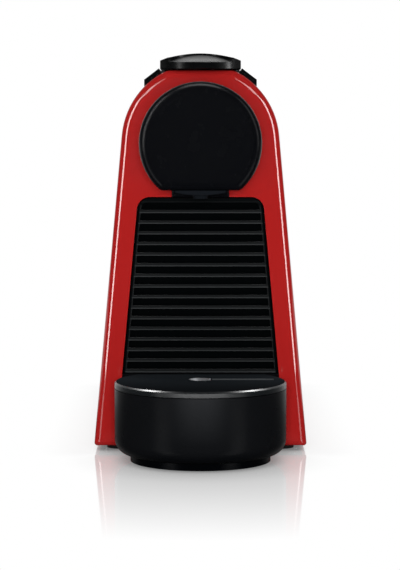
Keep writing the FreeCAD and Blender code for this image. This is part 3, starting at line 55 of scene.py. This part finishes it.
# Noise scales that all plastics or all metals share, and the span of noise values that is used
COLOUR_PATCHES = 35
GLOSS_PATCHES = 120
DRAWN_LINES = 900
NOISE_SPAN = (0.3, 0.7)


# Ways to make materials


def srgb(red, green, blue):
    """Linear colour from the 0 to 255 values that a screen shows."""
    values = []
    for number in (red, green, blue):
        share = number / 255
        values.append(share / 12.92 if share <= 0.04045 else ((share + 0.055) / 1.055) ** 2.4)
    return (*values, 1)


def shades(first, second):
    """The two colours between which a finish varies."""
    return srgb(*first), srgb(*second)


def new_material(name):
    """Empty node material with its main shader."""
    material = bpy.data.materials.new(name)
    material.use_nodes = True
    return material, *shader_of(material)


def shader_of(material):
    """Node tree and main shader of a material."""
    tree = material.node_tree
    return tree, tree.nodes["Principled BSDF"]


def colour_of(shader):
    """Socket that a shader's colour comes from."""
    return shader.inputs["Base Color"].links[0].from_socket


def connect(tree, entry, socket):
    """Feed a socket from another one, or give it a fixed value."""
    if isinstance(entry, bpy.types.NodeSocket):
        tree.links.new(entry, socket)
    else:
        socket.default_value = entry


def math_node(tree, kind, first, second=0):
    """Result of an operation on one or two values, each a number or a socket."""
    node = tree.nodes.new("ShaderNodeMath")
    node.operation = kind
    connect(tree, first, node.inputs[0])
    connect(tree, second, node.inputs[1])
    return node.outputs["Value"]


def mix(tree, factor, first, second, kind="RGBA"):
    """Colour, or number of the kind FLOAT, between two that are each fixed or a socket."""
    node = tree.nodes.new("ShaderNodeMix")
    node.data_type = kind
    connect(tree, factor, node.inputs["Factor"])
    connect(tree, first, node.inputs["A"])
    connect(tree, second, node.inputs["B"])
    return node.outputs["Result"]


def mix_shader(tree, factor, first, second):
    """Shader between two others."""
    node = tree.nodes.new("ShaderNodeMixShader")
    for entry, socket in zip((factor, first, second), node.inputs):
        tree.links.new(entry, socket)
    return node.outputs["Shader"]


def ramp(tree, value, start, end, low, high, smooth=True):
    """Value that goes from low to high while another goes from start to end."""
    node = tree.nodes.new("ShaderNodeMapRange")
    node.interpolation_type = "SMOOTHSTEP" if smooth else "LINEAR"
    node.inputs["From Min"].default_value = start
    node.inputs["From Max"].default_value = end
    node.inputs["To Min"].default_value = low
    node.inputs["To Max"].default_value = high
    tree.links.new(value, node.inputs["Value"])
    return node.outputs["Result"]


def place_axes(tree, output="Object"):
    """The x, y and z of a shading point, or of another output of its place."""
    place = tree.nodes.new("ShaderNodeTexCoord")
    split = tree.nodes.new("ShaderNodeSeparateXYZ")
    tree.links.new(place.outputs[output], split.inputs["Vector"])
    return split.outputs


def noise(tree, scale, detail=3.0, stretch=(1, 1, 1)):
    """Noise over the object's own place, in metres."""
    place = tree.nodes.new("ShaderNodeTexCoord")
    mapping = tree.nodes.new("ShaderNodeMapping")
    mapping.inputs["Scale"].default_value = stretch
    texture = tree.nodes.new("ShaderNodeTexNoise")
    texture.inputs["Scale"].default_value = scale
    texture.inputs["Detail"].default_value = detail
    tree.links.new(place.outputs["Object"], mapping.inputs["Vector"])
    tree.links.new(mapping.outputs["Vector"], texture.inputs["Vector"])
    return texture.outputs["Fac"]


def relief(tree, shader, height, strength, distance, edge):
    """Softened edges and fine relief on a shader."""
    soft = tree.nodes.new("ShaderNodeBevel")
    soft.samples = 6
    soft.inputs["Radius"].default_value = edge
    bump = tree.nodes.new("ShaderNodeBump")
    bump.inputs["Strength"].default_value = strength
    bump.inputs["Distance"].default_value = distance
    tree.links.new(height, bump.inputs["Height"])
    tree.links.new(soft.outputs["Normal"], bump.inputs["Normal"])
    tree.links.new(bump.outputs["Normal"], shader.inputs["Normal"])


def moulded(name, colours, grain, depth, rough=None, specular=0.5, edge=0.3 * MM):
    """Moulded plastic: slightly uneven colour and gloss, soft edges and a fine grain."""
    material, tree, shader = new_material(name)
    connect(tree, mix(tree, noise(tree, COLOUR_PATCHES), *colours), shader.inputs["Base Color"])
    if rough:
        gloss = ramp(tree, noise(tree, GLOSS_PATCHES), *NOISE_SPAN, *rough)
        connect(tree, gloss, shader.inputs["Roughness"])
    connect(tree, specular, shader.inputs["Specular IOR Level"])
    grain_strength = 0.25
    relief(tree, shader, noise(tree, grain, detail=2.0), grain_strength, depth, edge)
    return material


def metal(name, colours, rough, stretch):
    """Bare metal with fine drawn lines."""
    material, tree, shader = new_material(name)
    lines = noise(tree, DRAWN_LINES, 2.0, stretch)
    line_strength = 0.1
    line_depth = 0.02 * MM
    edge = 0.15 * MM
    connect(tree, mix(tree, lines, *colours), shader.inputs["Base Color"])
    connect(tree, ramp(tree, lines, *NOISE_SPAN, *rough), shader.inputs["Roughness"])
    connect(tree, 1.0, shader.inputs["Metallic"])
    relief(tree, shader, lines, line_strength, line_depth, edge)
    return material


# Finishes, one for each slot of the record, and some that single pieces have of their own


def red_plastic():
    """Red shell with a very slight orange peel, polished at its front and satin behind."""
    colours = shades((165, 29, 28), (169, 32, 31))
    material = moulded("red_shell", colours, grain=260, depth=0.003 * MM, edge=0.05 * MM)
    tree, shader = shader_of(material)
    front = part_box("body_shell")[0].y
    polished_to = front + 4 * MM
    satin_from = front + 14 * MM
    polished_specular, satin_specular = 0.6, 0.08
    polished_rough, satin_rough = 0.05, 0.3
    along = place_axes(tree)[1]
    specular = ramp(tree, along, polished_to, satin_from, polished_specular, satin_specular)
    connect(tree, specular, shader.inputs["Specular IOR Level"])
    rough = ramp(tree, along, polished_to, satin_from, polished_rough, satin_rough)
    connect(tree, rough, shader.inputs["Roughness"])
    return material


def black_plastic():
    """Matt black with a spark-eroded grain."""
    colours = shades((11, 12, 14), (14, 15, 17))
    return moulded("black_matt", colours, grain=2600, depth=0.004 * MM, rough=(0.4, 0.46),
                   specular=0.07, edge=0.45 * MM)


def black_head():
    """Smooth satin black of the brew head."""
    colours = shades((7, 8, 11), (9, 10, 13))
    return moulded("black_satin", colours, grain=1200, depth=0.003 * MM, rough=(0.24, 0.28),
                   specular=0.1, edge=1.8 * MM)


def neck_black_painted_lit():
    """Dull black of the outlet under the head, paler than the other blacks to paint in light where the head
    shades it.
    """
    colours = shades((18, 21, 25), (21, 24, 28))
    return moulded("neck_black_painted_lit", colours, grain=2600, depth=0.004 * MM, rough=(0.5, 0.58),
                   specular=0.02, edge=0.4 * MM)


def black_tray():
    """Satin black of the drip tray: a painted highlight in its middle, and painted shade round its foot."""
    colours = shades((13, 14, 16), (16, 17, 19))
    material = moulded("black_tray", colours, grain=2600, depth=0.004 * MM, rough=(0.27, 0.31),
                       specular=0.036, edge=0.45 * MM)
    tree, shader = shader_of(material)
    across, _, up = place_axes(tree)
    foot, rim = (corner.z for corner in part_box("drip_tray"))
    sheen_half, sheen_end = 2 * MM, 19 * MM
    sheen_foot = foot + 13 * MM
    sheen_least = 0.05
    foot_shade_to, foot_shade_end = foot + 3 * MM, foot + 12 * MM
    # Painted highlight: paler in the middle, strongest towards the rim and fading towards the foot
    middle = ramp(tree, math_node(tree, "ABSOLUTE", across), sheen_half, sheen_end, 1, 0)
    height = ramp(tree, up, sheen_foot, rim, sheen_least, 1, smooth=False)
    painted_sheen = math_node(tree, "MULTIPLY", middle, height)
    # Painted shade: darker round the foot
    low = ramp(tree, up, foot_shade_to, foot_shade_end, 1, 0)
    surface = mix(tree, painted_sheen, colour_of(shader), srgb(38, 39, 41))
    connect(tree, mix(tree, low, surface, srgb(3, 4, 6)), shader.inputs["Base Color"])
    return material


def painted_drain_highlight(tree):
    """One in the shallow channel that leads to the drain, where a highlight is painted, and none elsewhere.
    """
    ring_low, ring_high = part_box("drain_ring")
    cover_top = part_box("drip_tray_cover")[1].z
    half_width = 3.1 * MM
    least_depth = 0.02 * MM
    most_depth = 1.2 * MM
    across, along, up = place_axes(tree)
    offset = math_node(tree, "SUBTRACT", along, (ring_low.y + ring_high.y) / 2)
    inside = math_node(tree, "LESS_THAN", math_node(tree, "ABSOLUTE", offset), half_width)
    right = math_node(tree, "GREATER_THAN", across, ring_high.x)
    sunk = math_node(tree, "LESS_THAN", up, cover_top - least_depth)
    above = math_node(tree, "GREATER_THAN", up, cover_top - most_depth)
    level = math_node(tree, "MULTIPLY", sunk, above)
    return math_node(tree, "MULTIPLY", math_node(tree, "MULTIPLY", inside, right), level)


def black_cover():
    """Satin black of the tray cover: dull on top, with painted light on the top that grows paler towards the
    back, and a painted highlight along the drain channel.
    """
    colours = shades((18, 21, 23), (21, 24, 26))
    material = moulded("black_cover", colours, grain=1800, depth=0.001 * MM, rough=(0.26, 0.32),
                       edge=0.4 * MM)
    tree, shader = shader_of(material)
    low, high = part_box("drip_tray_cover")
    rim_specular, top_specular = 0.26, 0.0
    rim_normal, top_normal = 0.6, 0.95
    # Painted light: the upward faces paler than the rim, and paler still towards the back
    upward = ramp(tree, place_axes(tree, "Normal")[2], rim_normal, top_normal, 0, 1)
    back = ramp(tree, place_axes(tree)[1], low.y, high.y, 0, 1)
    top = mix(tree, back, *shades((18, 20, 22), (42, 47, 51)))
    surface = mix(tree, upward, colour_of(shader), top)
    # Painted highlight: a grey line in the drain channel
    surface = mix(tree, painted_drain_highlight(tree), surface, srgb(68, 71, 73))
    connect(tree, surface, shader.inputs["Base Color"])
    specular = ramp(tree, upward, 0, 1, rim_specular, top_specular)
    connect(tree, specular, shader.inputs["Specular IOR Level"])
    return material


def painted_rib_highlights(tree, up, low):
    """One at the lower edge of each rib, where a highlight is painted, falling to none above it."""
    rib_pitch = 5.46 * MM
    rib_start = low.z + 0.15 * MM
    pale_to, pale_end = 0.1 * MM, 0.75 * MM
    rise = math_node(tree, "MODULO", math_node(tree, "SUBTRACT", up, rib_start), rib_pitch)
    return ramp(tree, rise, pale_to, pale_end, 1, 0)


def panel_border(tree, across, up, low, high):
    """One along the tapered sides of the panel, nearly one along its top, and none inside."""
    taper = 0.0912
    side_border, side_end = 0.9 * MM, 1.2 * MM
    top_start, top_border = high.z - 4.2 * MM, high.z - 3.6 * MM
    top_share = 0.8
    narrowing = math_node(tree, "MULTIPLY", math_node(tree, "SUBTRACT", up, low.z), -taper)
    half_width = math_node(tree, "ADD", narrowing, high.x)
    inset = math_node(tree, "SUBTRACT", half_width, math_node(tree, "ABSOLUTE", across))
    sides = ramp(tree, inset, side_border, side_end, 1, 0)
    top = ramp(tree, up, top_start, top_border, 0, top_share)
    return math_node(tree, "MAXIMUM", sides, top)


def black_panel():
    """Satin black of the ribbed panel: a painted highlight at the lower edge of each rib, a darkened border,
    and painted shade in the grooves between the ribs.
    """
    colours = shades((20, 22, 23), (23, 25, 26))
    material = moulded("black_panel", colours, grain=2600, depth=0.008 * MM, rough=(0.36, 0.42),
                       edge=0.4 * MM)
    tree, shader = shader_of(material)
    low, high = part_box("container_front")
    across, along, up = place_axes(tree)
    rib_specular, dark_specular = 0.2, 0.02
    channel_start, channel_floor = low.y + 0.6 * MM, low.y + 2.5 * MM
    # Painted shade in the grooves between the ribs, joined below with the darkened border
    painted_channel_shade = ramp(tree, along, channel_start, channel_floor, 0, 1)
    dark = math_node(tree, "MAXIMUM", painted_channel_shade, panel_border(tree, across, up, low, high))
    # Painted highlight along the lower edge of each rib
    surface = mix(tree, painted_rib_highlights(tree, up, low), colour_of(shader), srgb(54, 56, 57))
    connect(tree, mix(tree, dark, surface, srgb(4, 6, 7)), shader.inputs["Base Color"])
    specular = ramp(tree, dark, 0, 1, rib_specular, dark_specular)
    connect(tree, specular, shader.inputs["Specular IOR Level"])
    return material


def polished(name, edge, specular=0.5):
    """Polished black, with edges of a given softness."""
    colours = shades((7, 8, 9), (10, 11, 12))
    return moulded(name, colours, grain=300, depth=0.004 * MM, rough=(0.24, 0.3),
                   specular=specular, edge=edge)


def black_gloss():
    """Polished black."""
    return polished("black_polished", 0.6 * MM, 0.2)


def black_lever():
    """Polished black of the lever, brightest in the middle of its finger dish."""
    material = polished("black_lever", 0.15 * MM)
    tree, shader = shader_of(material)
    side_specular = 0.18
    dish_specular, far_specular = 0.7, 0.02
    bright_half, bright_end = 4 * MM, 18 * MM
    side_normal, top_normal = 0.3, 0.7
    across = math_node(tree, "ABSOLUTE", place_axes(tree)[0])
    dish = ramp(tree, across, bright_half, bright_end, dish_specular, far_specular)
    upward = ramp(tree, place_axes(tree, "Normal")[2], side_normal, top_normal, 0, 1)
    specular = mix(tree, upward, side_specular, dish, "FLOAT")
    connect(tree, specular, shader.inputs["Specular IOR Level"])
    return material


def grey_plastic():
    """Glass-filled grey nylon."""
    colours = shades((92, 95, 97), (104, 107, 108))
    return moulded("grey_nylon", colours, grain=1800, depth=0.02 * MM, rough=(0.4, 0.5))


def white_plastic():
    """Off-white nylon."""
    colours = shades((216, 214, 206), (228, 226, 219))
    return moulded("white_nylon", colours, grain=1800, depth=0.02 * MM, rough=(0.38, 0.48))


def board_green():
    """Solder mask over glass fibre."""
    colours = shades((14, 84, 46), (20, 98, 54))
    return moulded("solder_mask", colours, grain=700, depth=0.01 * MM, rough=(0.25, 0.35))


def rubber():
    """Matt rubber."""
    colours = shades((18, 18, 18), (26, 26, 26))
    return moulded("foot_rubber", colours, grain=1500, depth=0.03 * MM, rough=(0.7, 0.85), specular=0.3)


def silicone():
    """Milky hose."""
    colours = shades((205, 205, 198), (218, 218, 211))
    material = moulded("silicone", colours, grain=900, depth=0.01 * MM, rough=(0.35, 0.45))
    tree, shader = shader_of(material)
    connect(tree, 0.35, shader.inputs["Transmission Weight"])
    return material


def smoked_clear():
    """See-through dark tank plastic."""
    colours = shades((92, 94, 98), (102, 104, 108))
    material = moulded("smoked_clear", colours, grain=200, depth=0.004 * MM, rough=(0.06, 0.12))
    tree, shader = shader_of(material)
    connect(tree, 0.92, shader.inputs["Transmission Weight"])
    connect(tree, 1.49, shader.inputs["IOR"])
    return material


def steel():
    """Drawn steel."""
    colours = shades((168, 169, 171), (196, 197, 199))
    return metal("drawn_steel", colours, rough=(0.22, 0.34), stretch=(1, 8, 8))


def ring_steel():
    """Blasted steel of the drain ring."""
    colours = shades((192, 195, 198), (212, 214, 217))
    return metal("blasted_steel", colours, rough=(0.5, 0.6), stretch=(3, 3, 3))


def aluminium():
    """Cast aluminium."""
    colours = shades((176, 178, 180), (203, 204, 206))
    return metal("cast_aluminium", colours, rough=(0.38, 0.52), stretch=(2, 2, 2))


def brass():
    """Turned brass."""
    colours = shades((186, 148, 78), (208, 170, 98))
    return metal("turned_brass", colours, rough=(0.2, 0.32), stretch=(8, 1, 8))


def copper():
    """Wound copper."""
    colours = shades((176, 98, 62), (202, 120, 80))
    return metal("wound_copper", colours, rough=(0.28, 0.4), stretch=(4, 30, 4))


MAKERS = {
    "red_plastic": red_plastic,
    "black_plastic": black_plastic,
    "black_gloss": black_gloss,
    "grey_plastic": grey_plastic,
    "white_plastic": white_plastic,
    "board_green": board_green,
    "rubber": rubber,
    "silicone": silicone,
    "smoked_clear": smoked_clear,
    "steel": steel,
    "aluminium": aluminium,
    "brass": brass,
    "copper": copper,
}


SPECIAL = {
    "head_cap": black_head,
    "outlet_collar": neck_black_painted_lit,
    "spout": neck_black_painted_lit,
    "lever": black_lever,
    "drip_tray": black_tray,
    "drain_ring": ring_steel,
    "drip_tray_cover": black_cover,
    "container_front": black_panel,
}


def dress_nodes():
    """Give every piece of the frame the finish of its slot, or its own."""
    finishes = {slot: maker() for slot, maker in MAKERS.items()}
    for name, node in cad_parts.items():
        for place in node.material_slots:
            place.material = SPECIAL[name]() if name in SPECIAL else finishes[place.material.name]
    return finishes


# Spring of the tank's valve


def coil_mesh(name, middle, low, high, radius, wire):
    """Round wire wound into an open coil between two heights."""
    turns = 4.5
    steps = 108
    sides = 10
    points = []
    for step in range(steps + 1):
        share = step / steps
        turn = 2 * math.pi * turns * share
        outward = Vector((math.cos(turn), math.sin(turn), 0))
        level = low + wire / 2 + (high - low - wire) * share
        centre = Vector((middle.x, middle.y, level)) + outward * (radius - wire / 2)
        for number in range(sides):
            angle = 2 * math.pi * number / sides
            spoke = outward * math.cos(angle) + Vector((0, 0, math.sin(angle)))
            points.append(centre + spoke * wire / 2)
    first_end = tuple(range(sides - 1, -1, -1))
    last_end = tuple(steps * sides + number for number in range(sides))
    faces = [first_end, last_end]
    for step in range(steps):
        for number in range(sides):
            here = step * sides + number
            beside = step * sides + (number + 1) % sides
            faces.append((here, beside, beside + sides, here + sides))
    mesh = bpy.data.meshes.new(name)
    mesh.from_pydata(points, [], faces)
    for face in mesh.polygons:
        face.use_smooth = True
    mesh.flip_normals()
    return mesh


def make_spring(finish):
    """Wound spring over the valve, hung on the tank's body in place of the frame's spring; the coil is built
    at one length.
    """
    low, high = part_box("valve_spring")
    wire = 0.9 * MM
    radius = (high.x - low.x) / 2
    mesh = coil_mesh("valve_spring_coil", (low + high) / 2, low.z, high.z, radius, wire)
    mesh.materials.append(finish)
    spring = bpy.data.objects.new("valve_spring_coil", mesh)
    bpy.context.scene.collection.objects.link(spring)
    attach(spring, "tank")
    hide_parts("valve_spring")
    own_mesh(spring)


# Floor and world


def seen_rays(tree):
    """One for rays from the camera, from gloss and through clear things, and none for the rest."""
    path = tree.nodes.new("ShaderNodeLightPath")
    seen = math_node(tree, "MAXIMUM", path.outputs["Is Camera Ray"], path.outputs["Is Glossy Ray"])
    return math_node(tree, "MAXIMUM", seen, path.outputs["Is Transmission Ray"])


def length(tree, first, second):
    """Straight distance covered by two steps at right angles."""
    squares = [math_node(tree, "POWER", side, 2) for side in (first, second)]
    return math_node(tree, "SQRT", math_node(tree, "ADD", *squares))


def footprint_distance(tree):
    """How far a point of the floor is from the hood with the tank, or from the tray if that is nearer."""
    across, along, _ = place_axes(tree)
    hood_low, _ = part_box("body_shell")
    _, tank_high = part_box("water_tank")
    middle = (hood_low.y + tank_high.y) / 2
    half_length = (tank_high.y - hood_low.y) / 2
    offset = math_node(tree, "ABSOLUTE", math_node(tree, "SUBTRACT", along, middle))
    side = math_node(tree, "SUBTRACT", math_node(tree, "ABSOLUTE", across), -hood_low.x)
    end = math_node(tree, "SUBTRACT", offset, half_length)
    hood = length(tree, math_node(tree, "MAXIMUM", side, 0), math_node(tree, "MAXIMUM", end, 0))
    tray_low, tray_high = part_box("drip_tray")
    radius = (tray_high.x - tray_low.x) / 2
    tray_along = math_node(tree, "SUBTRACT", along, tray_low.y + radius)
    tray = math_node(tree, "SUBTRACT", length(tree, across, tray_along), radius)
    return math_node(tree, "MAXIMUM", math_node(tree, "MINIMUM", hood, tray), 0)


def floor_white(tree):
    """White that is seen: dimmed by a painted contact shadow close to the object and, for gloss, dark in
    front of its middle.
    """
    contact = tree.nodes.new("ShaderNodeAmbientOcclusion")
    contact.samples = 12
    contact.inputs["Distance"].default_value = 30 * MM
    open_share = 0.7
    darkest = 0.35
    pool_end = 200 * MM
    # Painted contact shadow, from how open the floor is around each point
    shade = ramp(tree, contact.outputs["AO"], 0, open_share, darkest, 1)
    path = tree.nodes.new("ShaderNodeLightPath")
    pool = ramp(tree, place_axes(tree)[1], 0, pool_end, 0, 1)
    for ray in ("Is Camera Ray", "Is Transmission Ray"):
        pool = math_node(tree, "MAXIMUM", pool, path.outputs[ray])
    white = tree.nodes.new("ShaderNodeEmission")
    connect(tree, WHITE, white.inputs["Color"])
    connect(tree, math_node(tree, "MULTIPLY", pool, shade), white.inputs["Strength"])
    return white.outputs["Emission"]


def mirror_share(tree, near):
    """How much the floor mirrors: most at the object for the camera, and a little for gloss."""
    reach = 160 * MM
    most = 0.43
    for_gloss = 0.2
    path = tree.nodes.new("ShaderNodeLightPath")
    fade = ramp(tree, near, 0, reach, most, 0, smooth=False)
    fade = math_node(tree, "MULTIPLY", fade, path.outputs["Is Camera Ray"])
    wet = math_node(tree, "MULTIPLY", path.outputs["Is Glossy Ray"], for_gloss)
    return math_node(tree, "MAXIMUM", fade, wet)


def floor_finish():
    """White floor that keeps the shadow in part and has a painted contact shadow, and mirrors the object
    softly close to it.
    """
    material, tree, lit = new_material("pale_floor")
    material.cycles.emission_sampling = "NONE"
    patches = 3
    pale_tones = ((0.86, 0.86, 0.86, 1), (0.9, 0.9, 0.9, 1))
    connect(tree, mix(tree, noise(tree, patches), *pale_tones), lit.inputs["Base Color"])
    connect(tree, 0.6, lit.inputs["Roughness"])
    connect(tree, 0.1, lit.inputs["Specular IOR Level"])
    near = footprint_distance(tree)
    shadow_reach = 30 * MM
    least_white = 0.75
    away = ramp(tree, near, 0, shadow_reach, least_white, 1)
    share = math_node(tree, "MULTIPLY", seen_rays(tree), away)
    pale = mix_shader(tree, share, lit.outputs["BSDF"], floor_white(tree))
    gloss = tree.nodes.new("ShaderNodeBsdfGlossy")
    connect(tree, WHITE, gloss.inputs["Color"])
    connect(tree, 0.06, gloss.inputs["Roughness"])
    surface = mix_shader(tree, mirror_share(tree, near), pale, gloss.outputs["BSDF"])
    tree.links.new(surface, tree.nodes["Material Output"].inputs["Surface"])
    return material


def make_floor():
    """Wide flat floor under the object."""
    reach = 30.0
    mesh = bpy.data.meshes.new("floor")
    corners = [(-reach, -reach, 0), (reach, -reach, 0), (reach, reach, 0), (-reach, reach, 0)]
    mesh.from_pydata(corners, [], [(0, 1, 2, 3)])
    floor = bpy.data.objects.new("floor", mesh)
    bpy.context.scene.collection.objects.link(floor)
    mesh.materials.append(floor_finish())
    return floor


def make_world():
    """White background, which gloss and clear things see fade to a dim studio away from the back."""
    world = bpy.data.worlds.new("studio")
    bpy.context.scene.world = world
    world.use_nodes = True
    world.cycles.sampling_method = "NONE"
    tree = world.node_tree
    ground = tree.nodes["Background"]
    even_light = 0.42
    dim = 0.01
    dim_to, white_from = 0.5, 0.95
    along = place_axes(tree, "Generated")[1]
    studio = ramp(tree, along, dim_to, white_from, dim, 1)
    strength = mix(tree, seen_rays(tree), even_light, studio, "FLOAT")
    path = tree.nodes.new("ShaderNodeLightPath")
    strength = math_node(tree, "MAXIMUM", strength, path.outputs["Is Camera Ray"])
    connect(tree, WHITE, ground.inputs["Color"])
    connect(tree, strength, ground.inputs["Strength"])


# Lamps: places and sizes in metres, powers in watts. The unframed pieces are out of reach of the side strips

AIM = (0, -0.06, 0.15)
UNFRAMED = ("body_shell", "drip_tray", "spout", "outlet_collar", "drip_tray_cover")


def make_light(name, place, target, size, power, along=(0, 0, 1)):
    """Soft rectangular lamp that looks at a point, its long side along a direction."""
    lamp = bpy.data.lights.new(name, "AREA")
    lamp.shape = "RECTANGLE"
    lamp.size, lamp.size_y = size
    lamp.energy = power
    thing = bpy.data.objects.new(name, lamp)
    bpy.context.scene.collection.objects.link(thing)
    back = (Vector(place) - Vector(target)).normalized()
    side = Vector(along).cross(back).normalized()
    turn = Matrix((side, back.cross(side), back)).transposed()
    thing.matrix_world = Matrix.Translation(place) @ turn.to_4x4()
    thing.visible_camera = False
    return thing


def light_only(light, names, others=()):
    """Let a lamp reach only the named pieces, and other things of the stage."""
    takers = bpy.data.collections.new(light.name + "_takers")
    for name in names:
        takers.objects.link(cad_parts[name])
    for thing in others:
        takers.objects.link(thing)
    light.light_linking.receiver_collection = takers


def make_soft_lights():
    """Even light for the colours: a key in front and two fills behind."""
    middle = (0, 0, 0.1)
    soft = [make_light("key", (0, -1.3, 0.22), middle, size=(0.25, 0.25), power=9)]
    for side in SIDES:
        place = (1.1 * side, 0.9, 0.9)
        soft.append(make_light("back_fill", place, middle, size=(0.8, 0.8), power=9))
    for light in soft:
        light.visible_glossy = False


def hood_lamps(floor):
    """Strips that draw the bright line along the hood's edge, on both sides and up the arch."""
    lamps = []
    for side in SIDES:
        place = (0.42 * side, -0.5, 0.22)
        flank = (-0.05 * side, -0.15, 1)
        strip = make_light("hood_strip", place, AIM, size=(0.2, 0.44), power=3.5, along=flank)
        light_only(strip, ["body_shell"], [floor])
        place = (0.21 * side, -0.6, 0.37)
        arch = (-0.79 * side, -0.34, -0.5)
        bow = make_light("arch_strip", place, AIM, size=(0.08, 0.24), power=0.4, along=arch)
        light_only(bow, ["body_shell"])
        lamps += [strip, bow]
    return lamps


def side_strips(framed):
    """Tall leaning strips that frame the black pieces left and right, with the head's own pair."""
    others = [name for name in framed if name != "head_cap"]
    head = ["head_cap"]
    foot = Vector((0, -0.05, 0.6))
    distance = 1.38
    lean = 0.45
    strips = (
        ("left_strip", -50, 7, others),
        ("right_strip", 70, 18, others),
        ("head_left_strip", -50, 22, head),
        ("head_right_strip", 60, 7, head),
    )
    lamps = []
    for name, angle, power, takers in strips:
        turn = math.radians(angle)
        outward = Vector((math.sin(turn), -math.cos(turn), 0))
        place = outward * distance + foot
        along = Vector((0, 0, 1)) - outward * lean
        strip = make_light(name, place, AIM, size=(0.2, 1.5), power=power, along=along)
        light_only(strip, takers)
        lamps.append(strip)
    return lamps


def top_panel(framed):
    """Wide panel above, mirrored by the framed pieces apart from a few plain ones."""
    plain = ("lever", "drain_ring", "container_bin")
    panel = make_light("top_panel", (0, -0.46, 1.5), AIM, size=(0.9, 0.5), power=18, along=(0, 1, 0))
    light_only(panel, [name for name in framed if name not in plain])
    return panel


def low_card():
    """Low narrow card in front, for the rim of the tray's cover."""
    card = make_light("low_card", (0, -0.3, 0.03), (0, -0.15, 0.03), size=(0.25, 0.016), power=0.23)
    light_only(card, ["drip_tray_cover"])
    return card


def edge_lamps():
    """Lamps above and beside, for the edges of the buttons and of the tray's cover."""
    lamps = []
    for side in SIDES:
        edge = make_light("edge_lamp", (0.95 * side, 0.15, 1.27), AIM, size=(0.4, 0.4), power=36)
        light_only(edge, ["left_button", "right_button", "drip_tray_cover"])
        lamps.append(edge)
    return lamps


def make_line_lights(floor):
    """Lamps that only gloss mirrors: lines on the hood's edge and on the black pieces."""
    framed = [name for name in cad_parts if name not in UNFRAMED]
    lamps = hood_lamps(floor) + side_strips(framed) + [top_panel(framed), low_card()] + edge_lamps()
    for light in lamps:
        light.visible_diffuse = False


# Camera and sizes


def make_camera():
    """Camera at the photograph's place, looking slightly down."""
    distance = 1174.4 * MM
    level = 173.9 * MM
    across = -0.24 * MM
    pitch = math.radians(4.65)
    focal_pixels = 2118
    long_side_pixels = 570
    camera = bpy.data.cameras.new("camera")
    camera.sensor_width = 36
    camera.lens = focal_pixels * camera.sensor_width / long_side_pixels
    thing = bpy.data.objects.new("camera", camera)
    bpy.context.scene.collection.objects.link(thing)
    thing.location = (across, -distance, level)
    thing.rotation_euler = (math.pi / 2 - pitch, 0, 0)
    bpy.context.scene.camera = thing


bpy.context.scene.view_settings.view_transform = "Standard"
finishes = dress_nodes()
make_spring(finishes["steel"])
floor = make_floor()
make_world()
make_soft_lights()
make_line_lights(floor)
make_camera()
